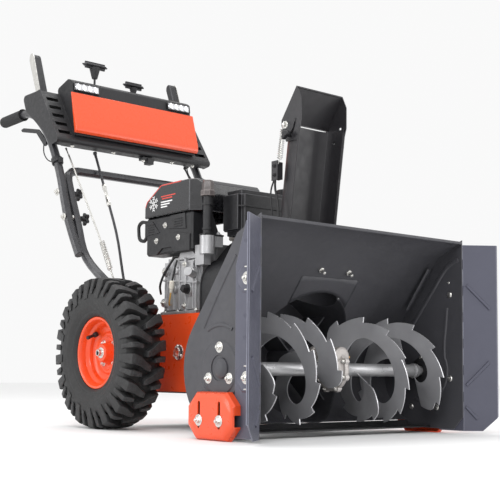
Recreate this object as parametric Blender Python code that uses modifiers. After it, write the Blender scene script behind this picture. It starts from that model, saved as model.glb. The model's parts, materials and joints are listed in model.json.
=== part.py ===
"""Two stage snowblower: bucket with serrated auger, impeller drum, turning chute, engine on a
friction-drive transmission case, two lugged wheels and a handlebar with its control console.

Units are metres, +Z is up, the bucket opens towards -Y and the operator walks at +Y.  Lengths
along Y are given from the bucket's front lip; an empty carries the whole machine so that the
origin lies under the middle of its box, on the ground.
"""

import math

import bmesh
import bpy
from mathutils import Matrix, Vector

# ---------------------------------------------------------------- driving dimensions
GAP = 0.0003                 # clearance left between touching pieces
RUN = 0.0015                 # clearance round turning pieces

BUCKET_WIDTH = 0.700         # across the outer faces of the side plates
BUCKET_HEIGHT = 0.508        # lip above the ground
SIDE_PLATE = 0.003           # side plate thickness
SHEET = 0.0025               # bucket back sheet
LIP_DEPTH = 0.080            # lip to the knee of the back sheet
LIP_DROP = 0.037             # how far that knee lies below the lip
GROUND_GAP = 0.014           # scraper edge above the ground

AUGER_Y = 0.135
AUGER_Z = 0.166
AUGER_RADIUS = 0.140
AUGER_SWEEP = 0.006          # auger tip to back sheet
FLIGHT_SHEET = 0.004
FLIGHT_WIDTH = 0.050         # radial width of the ribbon
AUGER_TUBE = 0.0165          # radius of the auger sleeve
AUGER_SHAFT = 0.0125
GEARBOX_LENGTH = 0.064       # along the auger shaft
GEARBOX_RADIUS = 0.047
WORM_RISE = 0.031            # impeller shaft above the auger shaft
SIDE_BEARING = 0.024         # room for the bearing inside each side plate

DRUM_RADIUS = 0.165          # inside of the impeller drum
DRUM_BACK = 0.375            # back wall of the drum from the lip
DRUM_SHEET = 0.003
IMPELLER_RADIUS = 0.158
IMPELLER_DEPTH = 0.085
IMPELLER_SHAFT = 0.0125

CHUTE_Y = 0.245              # turning axis of the chute
CHUTE_RING = 0.089           # inner radius of the chute's base
CHUTE_SHEET = 0.003
CHUTE_BASE_Z = 0.440
CHUTE_TOP_Z = 0.800
CHUTE_HALF_WIDTH = 0.078
CHUTE_DEPTH = 0.058
CHUTE_LEAN = math.radians(8.0)
DEFLECTOR_RISE = 0.080       # hinge to lip, upwards
DEFLECTOR_REACH = 0.056      # hinge to lip, forwards
DEFLECTOR_TRAVEL = math.radians(50.0)
SLOT_RADIUS = 0.048          # deflector slot about its hinge

WING_LENGTH = 0.0915
WING_ANGLE = math.radians(35.2)
WING_STRIP = 0.013           # bent strip on the wing's outer edge
WING_LEG = 0.084             # leg that lies on the side plate
WING_HEIGHT = 0.500

SHOE_STAND = 0.027
SHOE_FRONT = 0.062
SHOE_LENGTH = 0.176
SHOE_HEIGHT = 0.112
SHOE_SHEET = 0.004

TYRE_RADIUS = 0.209
TYRE_WIDTH = 0.125
RIM_RADIUS = 0.100
WHEEL_X = 0.2995             # middle of each wheel
WHEEL_Y = 0.715
AXLE_RADIUS = 0.0095

CASE_HALF_WIDTH = 0.158
CASE_BOTTOM = 0.103
CASE_TOP = 0.318
CASE_LENGTH = 0.437
CASE_SHEET = 0.003
FRICTION_DISC = 0.070
FRICTION_WHEEL = 0.060

CRANK_Z = 0.425              # crankshaft height
CRANKCASE_WIDTH = 0.200
SUMP_LEFT = -0.150           # the sump stands out to the left below the block
SUMP_HEIGHT = 0.160
CRANKCASE_FRONT = 0.500
CRANKCASE_LENGTH = 0.175
CRANKCASE_HEIGHT = 0.195
BELT_COVER_LEFT = -0.158
RECOIL_RADIUS = 0.104
RECOIL_DEPTH = 0.075
SHROUD_LEFT = -0.172
SHROUD_FRONT = 0.492
SHROUD_LENGTH = 0.245
SHROUD_WIDTH = 0.230
SHROUD_BOTTOM = 0.600
SHROUD_HEIGHT = 0.088
SHROUD_CORNER = 0.026        # cut off the front left corner
COVER_SHEET = 0.003

TUBE_RADIUS = 0.0135         # handle tubes
LOWER_HANDLE_X = 0.245
UPPER_HANDLE_X = 0.2755
CROSS_TUBE_Y = 1.073
CROSS_TUBE_Z = 0.785
GRIP_RADIUS = 0.0175
GRIP_LENGTH = 0.145
GRIP_Z = 1.000
GRIP_START = 1.312
FOLD_Y = 1.004               # lower handle bolt: the handlebar folds about it
FOLD_Z = 0.625
ROD_RADIUS = 0.0045
CABLE_RADIUS = 0.0030
ROPE_RADIUS = 0.0022         # starter rope
ROPE_PULL = 0.190            # straight length of rope behind the grip

CONSOLE_HALF = 0.2945
CONSOLE_BOTTOM_Y = 1.036
CONSOLE_BOTTOM_Z = 0.866
CHEEK_TOP_Y = 1.163
CHEEK_TOP_Z = 1.050
RAISED_HALF = 0.228
CONSOLE_WALL = 0.003
VENT_COUNT = 5
VENT_START = 0.028           # lowest louvre above the console's edge
VENT_PITCH = 0.030
VENT_HEIGHT = 0.012
LAMP_X = 0.178
LAMP_WIDTH = 0.085
GEAR_X = -0.115              # gear lever
CHUTE_LEVER_X = 0.035        # deflector lever
LEVER_RADIUS = 0.0035
PADDLE_X = 0.2680            # clutch paddles
PADDLE_WIDTH = 0.026
TRIGGER_WIDTH = 0.008
COVER_HEIGHT = 0.110         # carburettor cover
TANK_HEIGHT = 0.125
TANK_DROP = 0.070            # tank floor below the engine cover
FILLER_X = -0.145
FILLER_RADIUS = 0.0130
FILLER_LENGTH = 0.108
CAP_RADIUS = 0.021
CAP_HEIGHT = 0.044

# ---------------------------------------------------------------- worked out from the above
SIDE_X = BUCKET_WIDTH / 2                                   # outer face of a side plate
HOUSING_RADIUS = AUGER_RADIUS + AUGER_SWEEP
IMPELLER_Z = AUGER_Z + WORM_RISE
WING_TIP_Y = -WING_LENGTH * math.sin(WING_ANGLE)
GRIP_END = GRIP_START + GRIP_LENGTH
ORIGIN_FROM_LIP = (WING_TIP_Y + GRIP_END) / 2
CASE_FRONT = DRUM_BACK + DRUM_SHEET + GAP
CASE_BACK = CASE_FRONT + CASE_LENGTH
BELT_Y = CASE_FRONT + 0.035
LEVER_PIVOT_Y = CONSOLE_BOTTOM_Y + 0.096
LEVER_PIVOT_Z = CONSOLE_BOTTOM_Z + 0.135
PADDLE_PIVOT_Y = CHEEK_TOP_Y + 0.021
PADDLE_PIVOT_Z = CHEEK_TOP_Z - 0.042
TRIGGER_PIVOT_Y = CONSOLE_BOTTOM_Y + 0.116
TRIGGER_PIVOT_Z = CONSOLE_BOTTOM_Z + 0.018

COLOURS = {
    "graphite": ((0.060, 0.060, 0.068), 0.45, 0.35),
    "wing_grey": ((0.115, 0.115, 0.160), 0.45, 0.35),
    "orange": ((0.80, 0.095, 0.020), 0.35, 0.10),
    "panel_orange": ((0.88, 0.150, 0.060), 0.25, 0.0),
    "auger_steel": ((0.30, 0.30, 0.32), 0.35, 0.9),
    "steel": ((0.55, 0.55, 0.57), 0.30, 1.0),
    "cast": ((0.42, 0.40, 0.38), 0.50, 0.7),
    "aluminium": ((0.60, 0.60, 0.62), 0.38, 0.9),
    "chute_black": ((0.030, 0.029, 0.032), 0.40, 0.2),
    "tube_grey": ((0.045, 0.045, 0.048), 0.38, 0.4),
    "plastic": ((0.020, 0.020, 0.022), 0.45, 0.0),
    "rubber": ((0.025, 0.025, 0.025), 0.75, 0.0),
    "tyre": ((0.022, 0.022, 0.023), 0.80, 0.0),
    "lens": ((0.75, 0.76, 0.78), 0.10, 0.0),
    "cap_grey": ((0.085, 0.075, 0.075), 0.45, 0.0),
    "scraper": ((0.040, 0.040, 0.042), 0.50, 0.6),
}

# ---------------------------------------------------------------- scene and small helpers
for old in list(bpy.data.objects):
    bpy.data.objects.remove(old, do_unlink=True)

machine = bpy.data.collections.new("two_stage_snowblower")
cutters = bpy.data.collections.new("cutters")
bpy.context.scene.collection.children.link(machine)
bpy.context.scene.collection.children.link(cutters)

datum = bpy.data.objects.new("front_lip_datum", None)
datum.location = (0, -ORIGIN_FROM_LIP, 0)
machine.objects.link(datum)

fold_axis = bpy.data.objects.new("handlebar_fold_axis", None)
fold_axis.location = (0, FOLD_Y, FOLD_Z)
fold_axis.parent = datum
machine.objects.link(fold_axis)

materials = {}
for colour_name, (rgb, rough, metal) in COLOURS.items():
    material = bpy.data.materials.new(colour_name)
    material.use_nodes = True
    shader = material.node_tree.nodes["Principled BSDF"]
    shader.inputs["Base Color"].default_value = (*rgb, 1)
    shader.inputs["Roughness"].default_value = rough
    shader.inputs["Metallic"].default_value = metal
    materials[colour_name] = material

ALONG_X = Matrix(((0, 0, 1), (1, 0, 0), (0, 1, 0))).to_4x4()   # outline (y, z), thickness x
ALONG_Y = Matrix(((1, 0, 0), (0, 0, -1), (0, 1, 0))).to_4x4()  # outline (x, z), thickness -y
ALONG_Z = Matrix.Identity(4)                                   # outline (x, y), thickness z


def finish(name, mesh, colour, turn=None, at=(0, 0, 0), smooth=30):
    """Make a named part from a mesh, or a cutter when no colour is given."""
    thing = bpy.data.objects.new(name, mesh)
    thing.matrix_basis = Matrix.Translation(at) @ (turn or Matrix.Identity(4))
    thing.parent = datum
    if colour is None:
        cutters.objects.link(thing)
        thing.hide_render = True
        thing.display_type = "WIRE"
        return thing
    machine.objects.link(thing)
    mesh.materials.clear()
    mesh.materials.append(materials[colour])
    mesh.shade_smooth()
    mesh.set_sharp_from_angle(angle=math.radians(smooth))
    return thing


def mesh_from(bm):
    bmesh.ops.recalc_face_normals(bm, faces=bm.faces)
    mesh = bpy.data.meshes.new("shape")
    bm.to_mesh(mesh)
    bm.free()
    return mesh


def box(name, low, high, colour=None, bevel=0.0, segments=1):
    """A block between two corners, its edges rounded by bevel."""
    bm = bmesh.new()
    bmesh.ops.create_cube(bm, size=1)
    size = Vector(high) - Vector(low)
    centre = (Vector(high) + Vector(low)) / 2
    bmesh.ops.scale(bm, vec=size, verts=bm.verts)
    if bevel:
        bmesh.ops.bevel(bm, geom=bm.edges[:], offset=bevel, segments=segments, affect="EDGES")
    return finish(name, mesh_from(bm), colour, at=centre)


def cylinder(name, radius, length, at, axis="X", colour=None, sides=32, radius_end=None):
    """A round bar centred at a point; radius_end makes it a cone."""
    bm = bmesh.new()
    end = radius if radius_end is None else radius_end
    bmesh.ops.create_cone(bm, cap_ends=True, segments=sides, radius1=radius, radius2=end, depth=length)
    turn = {"X": Matrix.Rotation(math.pi / 2, 4, "Y"), "Y": Matrix.Rotation(-math.pi / 2, 4, "X"),
            "Z": Matrix.Identity(4)}[axis]
    return finish(name, mesh_from(bm), colour, turn, at)


def baked(thing):
    """Replace a curve by the welded mesh that it evaluates to."""
    bpy.context.view_layer.update()
    seen = thing.evaluated_get(bpy.context.evaluated_depsgraph_get())
    mesh = bpy.data.meshes.new_from_object(seen)
    bm = bmesh.new()
    bm.from_mesh(mesh)
    bmesh.ops.remove_doubles(bm, verts=bm.verts, dist=0.00001)
    bmesh.ops.recalc_face_normals(bm, faces=bm.faces)
    bm.to_mesh(mesh)
    bm.free()
    bpy.data.objects.remove(thing, do_unlink=True)
    return mesh


def outline(name, points, thickness, turn, at=(0, 0, 0), colour=None):
    """A flat plate: a closed outline, extruded half its thickness to each side."""
    curve = bpy.data.curves.new(name, "CURVE")
    curve.dimensions = "2D"
    curve.fill_mode = "BOTH"
    curve.extrude = thickness / 2
    spline = curve.splines.new("POLY")
    spline.points.add(len(points) - 1)
    for slot, (u, v) in zip(spline.points, points):
        slot.co = (u, v, 0, 1)
    spline.use_cyclic_u = True
    flat = bpy.data.objects.new(name, curve)
    cutters.objects.link(flat)
    return finish(name, baked(flat), colour, turn, at)


def tube(name, points, radius, colour=None, round_by=3, sides=3):
    """A bent tube: the corners of its route are rounded over round_by extra points."""
    curve = bpy.data.curves.new(name, "CURVE")
    curve.dimensions = "3D"
    curve.bevel_depth = radius
    curve.bevel_resolution = sides
    curve.use_fill_caps = True
    route = rounded(points, round_by)
    spline = curve.splines.new("POLY")
    spline.points.add(len(route) - 1)
    for slot, place in zip(spline.points, route):
        slot.co = (*place, 1)
    bent = bpy.data.objects.new(name, curve)
    cutters.objects.link(bent)
    return finish(name, baked(bent), colour, smooth=50)


def rounded(points, steps):
    """Round each inner corner with a short parabola through its neighbours' middles."""
    places = [Vector(p) for p in points]
    if steps < 2 or len(places) < 3:
        return places
    route = [places[0]]
    for before, corner, after in zip(places, places[1:], places[2:]):
        reach = min((corner - before).length, (after - corner).length) * 0.45
        start = corner + (before - corner).normalized() * reach
        stop = corner + (after - corner).normalized() * reach
        for step in range(steps + 1):
            t = step / steps
            route.append(start * (1 - t) ** 2 + corner * 2 * t * (1 - t) + stop * t * t)
    route.append(places[-1])
    return route


def turned(name, profile, at, axis="X", colour=None, steps=40):
    """A turned ring or disc from a closed profile of (radius, height) pairs, taken down its outer side."""
    area = sum(a[0] * b[1] - b[0] * a[1] for a, b in zip(profile, profile[1:] + profile[:1]))
    ordered = profile if area < 0 else profile[::-1]
    bm = bmesh.new()
    rim = [bm.verts.new((radius, 0, height)) for radius, height in ordered]
    for first, second in zip(rim, rim[1:] + rim[:1]):
        bm.edges.new((first, second))
    mesh = bpy.data.meshes.new(name)
    bm.to_mesh(mesh)
    bm.free()
    turn = {"X": Matrix.Rotation(math.pi / 2, 4, "Y"), "Y": Matrix.Rotation(-math.pi / 2, 4, "X"),
            "Z": Matrix.Identity(4)}[axis]
    thing = finish(name, mesh, colour, turn, at)
    screw = thing.modifiers.new("turn", "SCREW")
    screw.steps = steps
    screw.render_steps = steps
    screw.merge_threshold = 0.0001
    screw.use_merge_vertices = True
    return thing


def combine(thing, tool, operation="DIFFERENCE"):
    modifier = thing.modifiers.new(operation.lower(), "BOOLEAN")
    modifier.operation = operation
    modifier.solver = "EXACT"
    modifier.object = tool
    return thing


def cut(thing, *tools):
    for tool in tools:
        combine(thing, tool, "DIFFERENCE")
    return thing


def add(thing, *tools):
    for tool in tools:
        combine(thing, tool, "UNION")
    return thing


def arc(centre, radius, start, stop, steps):
    """Points on an arc, angles in radians."""
    return [(centre[0] + radius * math.cos(start + (stop - start) * i / steps),
             centre[1] + radius * math.sin(start + (stop - start) * i / steps))
            for i in range(steps + 1)]


def pivot_at(thing, place):
    """Put a piece's origin on its joint's axis and leave its shape where it is."""
    origin = Matrix.Translation(place)
    thing.data.transform(origin.inverted() @ thing.matrix_basis)
    thing.matrix_basis = origin
    return thing


def on_handlebar(*things):
    """Hang pieces on the empty that the handlebar folds about."""
    for thing in things:
        thing.matrix_basis = Matrix.Translation(-fold_axis.location) @ thing.matrix_basis
        thing.parent = fold_axis


def sides_of(make):
    """Build a piece on each side; make takes the side's name and sign."""
    return [make(side, sign) for side, sign in (("left", -1), ("right", 1))]


def mirrored(points, sign):
    """Flip an outline's first coordinate for the left side, keeping its order."""
    flipped = [(sign * u, v) for u, v in points]
    return flipped if sign > 0 else flipped[::-1]


# ---------------------------------------------------------------- bucket
def bucket_profile(offset):
    """The back sheet from lip to scraper, seen from the side, moved outwards by offset."""
    knee = Vector((LIP_DEPTH, BUCKET_HEIGHT - LIP_DROP))
    centre = Vector((AUGER_Y, AUGER_Z))
    away = knee - centre
    tangent = math.atan2(away.y, away.x) - math.acos(HOUSING_RADIUS / away.length)
    radius = HOUSING_RADIUS + offset
    slope = Vector((math.cos(tangent), math.sin(tangent)))
    lip_normal = Vector((LIP_DROP, LIP_DEPTH)).normalized()
    middle = (lip_normal + slope).normalized()
    corner = knee + middle * offset / middle.dot(slope)
    lip = Vector((0, BUCKET_HEIGHT - SHEET)) + Vector((0, offset / lip_normal.y))
    low = -math.acos(0.42)
    return [tuple(lip), tuple(corner)] + arc(centre, radius, tangent, low, 12)


def bucket():
    inner = bucket_profile(0)
    outer = bucket_profile(SHEET)
    between = 2 * (SIDE_X - SIDE_PLATE - GAP)
    housing = outline("auger_housing", inner + outer[::-1], between, ALONG_X, colour="graphite")
    drum_hole = cylinder("drum_hole", DRUM_RADIUS, DRUM_BACK, (0, DRUM_BACK / 2, IMPELLER_Z), "Y", sides=40)
    neck_hole = cylinder("neck_hole", CHUTE_RING + 2 * DRUM_SHEET, CHUTE_BASE_Z,
                         (0, CHUTE_Y, CHUTE_BASE_Z / 2 + IMPELLER_Z), "Z")
    cut(housing, drum_hole, neck_hole)

    back, end = inner[-1]
    end -= SHEET + 2 * GAP
    outline("scraper_bar",
            [(back + 0.0012, end), (back - 0.012, GROUND_GAP), (back - 0.085, GROUND_GAP),
             (back - 0.085, GROUND_GAP + 0.004), (back - 0.015, GROUND_GAP + 0.005), (back - 0.002, end)],
            between, ALONG_X, colour="scraper")

    edge = bucket_profile(SHEET + 0.004)
    plate_points = [(0, 0.045), (0, edge[0][1])] + edge[1:]
    plate_points += [(edge[-1][0] - 0.014, 0.012), (0.030, 0.012)]

    def side_plate(side, sign):
        plate = outline(f"side_plate_{side}", plate_points, SIDE_PLATE, ALONG_X,
                        (sign * (SIDE_X - SIDE_PLATE / 2), 0, 0), "graphite")
        bore = cylinder(f"side_bore_{side}", AUGER_SHAFT + RUN, 0.05, (sign * SIDE_X, AUGER_Y, AUGER_Z))
        return cut(plate, bore)

    sides_of(side_plate)


def wing(side, sign):
    """L-shaped snow wing: a leg on the side plate, bent out and forward at the front edge."""
    thick = SIDE_PLATE
    face = SIDE_X + GAP
    out = Vector((math.cos(WING_ANGLE), -math.sin(WING_ANGLE)))
    strip = Vector((math.cos(0.2), math.sin(0.2)))
    normal = Vector((out.y, -out.x)) * -1
    corner = Vector((face, 0))
    tip = corner + out * WING_LENGTH
    edge = tip + strip * WING_STRIP * 0.4
    inner = [Vector((face, WING_LEG)), corner, tip, edge]
    outer = [edge + Vector((-math.sin(0.2), math.cos(0.2))) * thick, tip + normal * thick,
             corner + Vector((thick, math.tan(WING_ANGLE) * -thick + thick / math.cos(WING_ANGLE))),
             Vector((face + thick, WING_LEG))]
    section = mirrored([tuple(p) for p in inner + outer], sign)
    low = 0.008
    sheet = outline(f"snow_wing_{side}", section, WING_HEIGHT - low, ALONG_Z,
                    (0, 0, (WING_HEIGHT + low) / 2), "wing_grey")
    corner_cut = outline(f"wing_corner_{side}",
                         mirrored([(face + 0.035, 0), (SIDE_X + 0.2, 0), (SIDE_X + 0.2, 0.15),
                                   (tip.x, 0.042)],
                                  sign),
                         0.4, ALONG_Y, (0, -0.15, 0))
    leg_cut = outline(f"wing_leg_cut_{side}",
                      [(0.045, WING_HEIGHT + 0.01), (WING_LEG * 2, WING_HEIGHT + 0.01), (WING_LEG * 2, 0.30),
                       (WING_LEG, 0.400)],
                      0.03, ALONG_X, (sign * face, 0, 0))
    return cut(sheet, corner_cut, leg_cut)


def skid_shoe(side, sign):
    inner = SIDE_X + GAP
    wing_leg = SIDE_PLATE + GAP
    x_in = inner + wing_leg
    x_out = inner + SHOE_STAND
    back = SHOE_FRONT + SHOE_LENGTH
    profile = [(SHOE_FRONT + 0.042, 0), (back - 0.046, 0), (back, 0.032), (back, SHOE_HEIGHT - 0.022),
               (back - 0.022, SHOE_HEIGHT), (SHOE_FRONT + 0.022, SHOE_HEIGHT),
               (SHOE_FRONT, SHOE_HEIGHT - 0.022), (SHOE_FRONT, 0.032)]
    shoe = outline(f"skid_shoe_{side}", profile, x_out - x_in, ALONG_X,
                   (sign * (x_in + x_out) / 2, 0, 0), "orange")
    wall = SHOE_SHEET
    hollow = [(SHOE_FRONT + 0.044, wall), (back - 0.048, wall), (back - wall, 0.034),
              (back - wall, SHOE_HEIGHT + 0.01), (SHOE_FRONT + wall, SHOE_HEIGHT + 0.01),
              (SHOE_FRONT + wall, 0.034)]
    pocket = outline(f"shoe_pocket_{side}", hollow, x_out - x_in, ALONG_X,
                     (sign * ((x_in + x_out) / 2 - wall), 0, 0))
    cut(shoe, pocket)
    for index, place in enumerate((SHOE_FRONT + 0.050, back - 0.050)):
        slot = box(f"shoe_slot_{side}_{index}", (sign * x_out - 0.02, place - 0.0045, 0.030),
                   (sign * x_out + 0.02, place + 0.0045, 0.088))
        cut(shoe, slot)
    return shoe


# ---------------------------------------------------------------- auger
def flight_mesh(start_x, end_x, start_angle, turn_angle, hand):
    """One serrated ribbon: it leaves the sleeve, opens to full radius and tapers back."""
    teeth = 11
    per_tooth = 4
    stations = teeth * per_tooth
    bm = bmesh.new()
    rings = []
    for index in range(stations + 1):
        t = index / stations
        inside = AUGER_RADIUS - FLIGHT_WIDTH
        taper = min(1.0, t / 0.22, (1 - t) / 0.22)
        low = AUGER_TUBE - 0.003 + (inside - AUGER_TUBE) * math.sin(taper * math.pi / 2) ** 1.5
        tooth = (index % per_tooth) / (per_tooth - 1)
        high = AUGER_RADIUS - 0.012 * (1 - tooth)
        high -= 0.045 * (1 - min(1.0, t / 0.06, (1 - t) / 0.06))
        angle = start_angle + hand * turn_angle * t
        x = start_x + (end_x - start_x) * t
        ring = []
        for radius, shift in ((low, -1), (high, -1), (high, 1), (low, 1)):
            ring.append(bm.verts.new((x + shift * FLIGHT_SHEET / 2, radius * math.cos(angle),
                                      radius * math.sin(angle))))
        rings.append(ring)
    for first, second in zip(rings, rings[1:]):
        for a in range(4):
            b = (a + 1) % 4
            bm.faces.new((first[a], first[b], second[b], second[a]))
    bm.faces.new(rings[0])
    bm.faces.new(rings[-1][::-1])
    return mesh_from(bm)


def auger(side, sign):
    start = GEARBOX_LENGTH / 2 + 0.006
    stop = SIDE_X - SIDE_PLATE - SIDE_BEARING - 0.004
    middle = (start + stop) / 2
    sleeve = cylinder(f"auger_{side}", AUGER_TUBE, stop - start, (sign * middle, AUGER_Y, AUGER_Z),
                      colour="auger_steel", sides=24)
    for index in range(2):
        ribbon = finish(f"auger_flight_{side}_{index}",
                        flight_mesh(sign * (start + 0.012 + 0.028 * index),
                                    sign * (stop - 0.040 + 0.028 * index),
                                    math.pi * index + 0.6, math.radians(400), sign),
                        None, at=(0, AUGER_Y, AUGER_Z))
        add(sleeve, ribbon)
    bore = cylinder(f"auger_bore_{side}", AUGER_SHAFT + GAP, 1.0, (sign * middle, AUGER_Y, AUGER_Z), sides=24)
    return cut(sleeve, bore)


def auger_line():
    sides_of(auger)
    cylinder("auger_shaft", AUGER_SHAFT, 2 * (SIDE_X + 0.006), (0, AUGER_Y, AUGER_Z), colour="steel",
             sides=24)

    body = turned("auger_gearbox",
                  [(GEARBOX_RADIUS - 0.006, GEARBOX_LENGTH * 0.30), (GEARBOX_RADIUS, GEARBOX_LENGTH * 0.22),
                   (GEARBOX_RADIUS, 0.006), (GEARBOX_RADIUS + 0.010, 0.006), (GEARBOX_RADIUS + 0.010, -0.006),
                   (GEARBOX_RADIUS, -0.006), (GEARBOX_RADIUS, -GEARBOX_LENGTH * 0.22),
                   (GEARBOX_RADIUS - 0.006, -GEARBOX_LENGTH * 0.30), (0.024, -GEARBOX_LENGTH * 0.30),
                   (0.022, -GEARBOX_LENGTH / 2), (0.008, -GEARBOX_LENGTH / 2),
                   (0.008, GEARBOX_LENGTH / 2), (0.022, GEARBOX_LENGTH / 2),
                   (0.024, GEARBOX_LENGTH * 0.30)],
                  (0, AUGER_Y, AUGER_Z), "X", "cast", 32)
    worm_end = AUGER_Y + GEARBOX_RADIUS + 0.030
    worm = cylinder("worm_housing", 0.0257, worm_end - AUGER_Y + 0.019,
                    (0, (AUGER_Y + worm_end) / 2 - 0.0095, IMPELLER_Z), "Y", sides=18)
    worm_bore = cylinder("worm_bore", IMPELLER_SHAFT + GAP, 0.060, (0, worm_end, IMPELLER_Z), "Y", sides=20)
    add(body, worm)
    shaft_bore = cylinder("gearbox_bore", AUGER_SHAFT + GAP, 0.2, (0, AUGER_Y, AUGER_Z), sides=24)
    cut(body, shaft_bore, worm_bore)

    return worm_end


# ---------------------------------------------------------------- impeller and drum
def impeller_drum():
    """Rolled drum with the round neck that the chute turns on."""
    skin = DRUM_RADIUS + DRUM_SHEET
    drum = cylinder("impeller_drum", skin, DRUM_BACK - 0.05 + DRUM_SHEET,
                    (0, (DRUM_BACK + 0.05 + DRUM_SHEET) / 2, IMPELLER_Z), "Y", "graphite", 40)
    neck_top = CHUTE_BASE_Z - GAP
    neck = cylinder("drum_neck", CHUTE_RING + DRUM_SHEET, neck_top - IMPELLER_Z,
                    (0, CHUTE_Y, (neck_top + IMPELLER_Z) / 2), "Z", sides=32)
    flange = cylinder("neck_flange", CHUTE_RING + 0.014, 0.004, (0, CHUTE_Y, neck_top - 0.002), "Z", sides=32)
    add(drum, neck, flange)
    inside = cylinder("drum_inside", DRUM_RADIUS, DRUM_BACK, (0, DRUM_BACK / 2, IMPELLER_Z), "Y", sides=40)
    neck_inside = cylinder("neck_inside", CHUTE_RING, 0.40, (0, CHUTE_Y, IMPELLER_Z + 0.20), "Z", sides=32)
    keep_out = bucket_profile(SHEET + GAP)
    space = [(-0.1, keep_out[0][1])] + keep_out + [(keep_out[-1][0] + 0.030, -0.1), (-0.1, -0.1)]
    front = outline("bucket_space", space, 0.9, ALONG_X)
    bore = cylinder("drum_bore", IMPELLER_SHAFT + RUN, 0.05, (0, DRUM_BACK, IMPELLER_Z), "Y", sides=20)
    cut(drum, inside, neck_inside, front, bore)


def impeller(worm_end):
    """Four curved-tip paddles on a hub; the shaft runs from the worm gearbox to the pulley."""
    blade_back = DRUM_BACK - 0.010
    blade_front = blade_back - IMPELLER_DEPTH
    hub = cylinder("impeller", 0.026, IMPELLER_DEPTH + 0.010,
                   (0, (blade_back + blade_front) / 2, IMPELLER_Z), "Y", "graphite", 24)
    for index in range(4):
        blade = box(f"impeller_blade_{index}", (0, -0.002, -IMPELLER_DEPTH / 2),
                    (IMPELLER_RADIUS, 0.002, IMPELLER_DEPTH / 2))
        spin = Matrix.Rotation(-math.pi / 2, 4, "X")
        about = Matrix.Rotation(math.radians(45 + 90 * index), 4, "Y")
        middle = (blade_back + blade_front) / 2
        local = Matrix.Translation((IMPELLER_RADIUS / 2, 0, 0))
        blade.matrix_basis = Matrix.Translation((0, middle, IMPELLER_Z)) @ about @ spin @ local
        add(hub, blade)
    disc = cylinder("impeller_disc", 0.075, 0.003, (0, blade_back - 0.0015, IMPELLER_Z), "Y", sides=32)
    add(hub, disc)
    bore = cylinder("impeller_bore", IMPELLER_SHAFT + GAP, 0.3, (0, DRUM_BACK, IMPELLER_Z), "Y", sides=20)
    cut(hub, bore)
    shaft_end = CASE_FRONT + 0.050
    shaft_start = worm_end - 0.022
    shaft = cylinder("impeller_shaft", IMPELLER_SHAFT, shaft_end - shaft_start,
                     (0, (shaft_end + shaft_start) / 2, IMPELLER_Z), "Y", "steel", 20)
    add(shaft, pulley("impeller_pulley", 0.070, IMPELLER_Z))


def pulley(name, radius, z):
    """A flat-rimmed pulley in the belt's plane, to be joined to its shaft."""
    return cylinder(name, radius, 0.020, (0, BELT_Y, z), "Y")


# ---------------------------------------------------------------- chute
def lean_y(z):
    """Inner face of the chute's back wall at height z."""
    return CHUTE_Y + 0.020 - (z - CHUTE_BASE_Z - 0.10) * math.tan(CHUTE_LEAN)


def hinge_point():
    return lean_y(CHUTE_TOP_Z) + CHUTE_SHEET + 0.003, CHUTE_TOP_Z + 0.007


def chute_section(z, sides):
    """The chute's outer outline at height z: round at the base, a rounded box higher up."""
    blend = min(1.0, max(0.0, (z - CHUTE_BASE_Z - 0.012) / 0.090))
    blend = blend * blend * (3 - 2 * blend)
    back = lean_y(z) + CHUTE_SHEET
    deep = CHUTE_DEPTH
    points = []
    for index in range(sides):
        angle = 2 * math.pi * index / sides
        across, along = math.cos(angle), math.sin(angle)
        round_point = Vector(((CHUTE_RING + CHUTE_SHEET) * across,
                              CHUTE_Y + (CHUTE_RING + CHUTE_SHEET) * along))
        reach = (abs(across / CHUTE_HALF_WIDTH) ** 5 + abs(along / deep) ** 5) ** -0.2
        box_point = Vector((reach * across, back - deep + reach * along))
        points.append(round_point.lerp(box_point, blend))
    return points


def chute():
    """Round base ring that runs up into a forward-leaning channel, open to the front."""
    heights = [CHUTE_BASE_Z + rise for rise in (0, 0.015, 0.035, 0.050, 0.084, 0.105)] + [CHUTE_TOP_Z]
    sides = 40
    bm = bmesh.new()
    rings = [[bm.verts.new((p.x, p.y, z)) for p in chute_section(z, sides)] for z in heights]
    for low, high in zip(rings, rings[1:]):
        for a in range(sides):
            b = (a + 1) % sides
            bm.faces.new((low[a], low[b], high[b], high[a]))
    channel = finish("chute", mesh_from(bm), "chute_black")
    shell = channel.modifiers.new("sheet", "SOLIDIFY")
    shell.thickness = CHUTE_SHEET
    shell.offset = -1
    flange = turned("chute_flange",
                    [(CHUTE_RING + 0.014, 0.004), (CHUTE_RING + 0.014, 0), (CHUTE_RING + 0.0012, 0),
                     (CHUTE_RING + 0.0012, 0.004)],
                    (0, CHUTE_Y, CHUTE_BASE_Z + 0.0007), "Z", None, 36)
    add(channel, flange)
    open_low = CHUTE_BASE_Z + 0.066
    tall = CHUTE_TOP_Z - open_low + 0.05
    mouth = box("chute_mouth", (-0.2, -0.2, 0), (0.2, 0, tall))
    lean = Matrix.Rotation(CHUTE_LEAN, 4, "X")
    mouth.matrix_basis = (Matrix.Translation((0, lean_y(open_low) - CHUTE_DEPTH, open_low)) @ lean
                          @ Matrix.Translation((0, -0.1, tall / 2)))
    bolt_y, bolt_z = slot_bolt()
    hole = cylinder("chute_bolt_hole", 0.0035, 0.3, (0, bolt_y, bolt_z), sides=12)
    cut(channel, mouth, hole)
    pivot_at(channel, (0, CHUTE_Y, CHUTE_BASE_Z))


def slot_bolt():
    """The bolt in the chute wall that the deflector's slot slides over."""
    hinge_y, hinge_z = hinge_point()
    angle = math.radians(235)
    return hinge_y + SLOT_RADIUS * math.cos(angle), hinge_z + SLOT_RADIUS * math.sin(angle)


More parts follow.
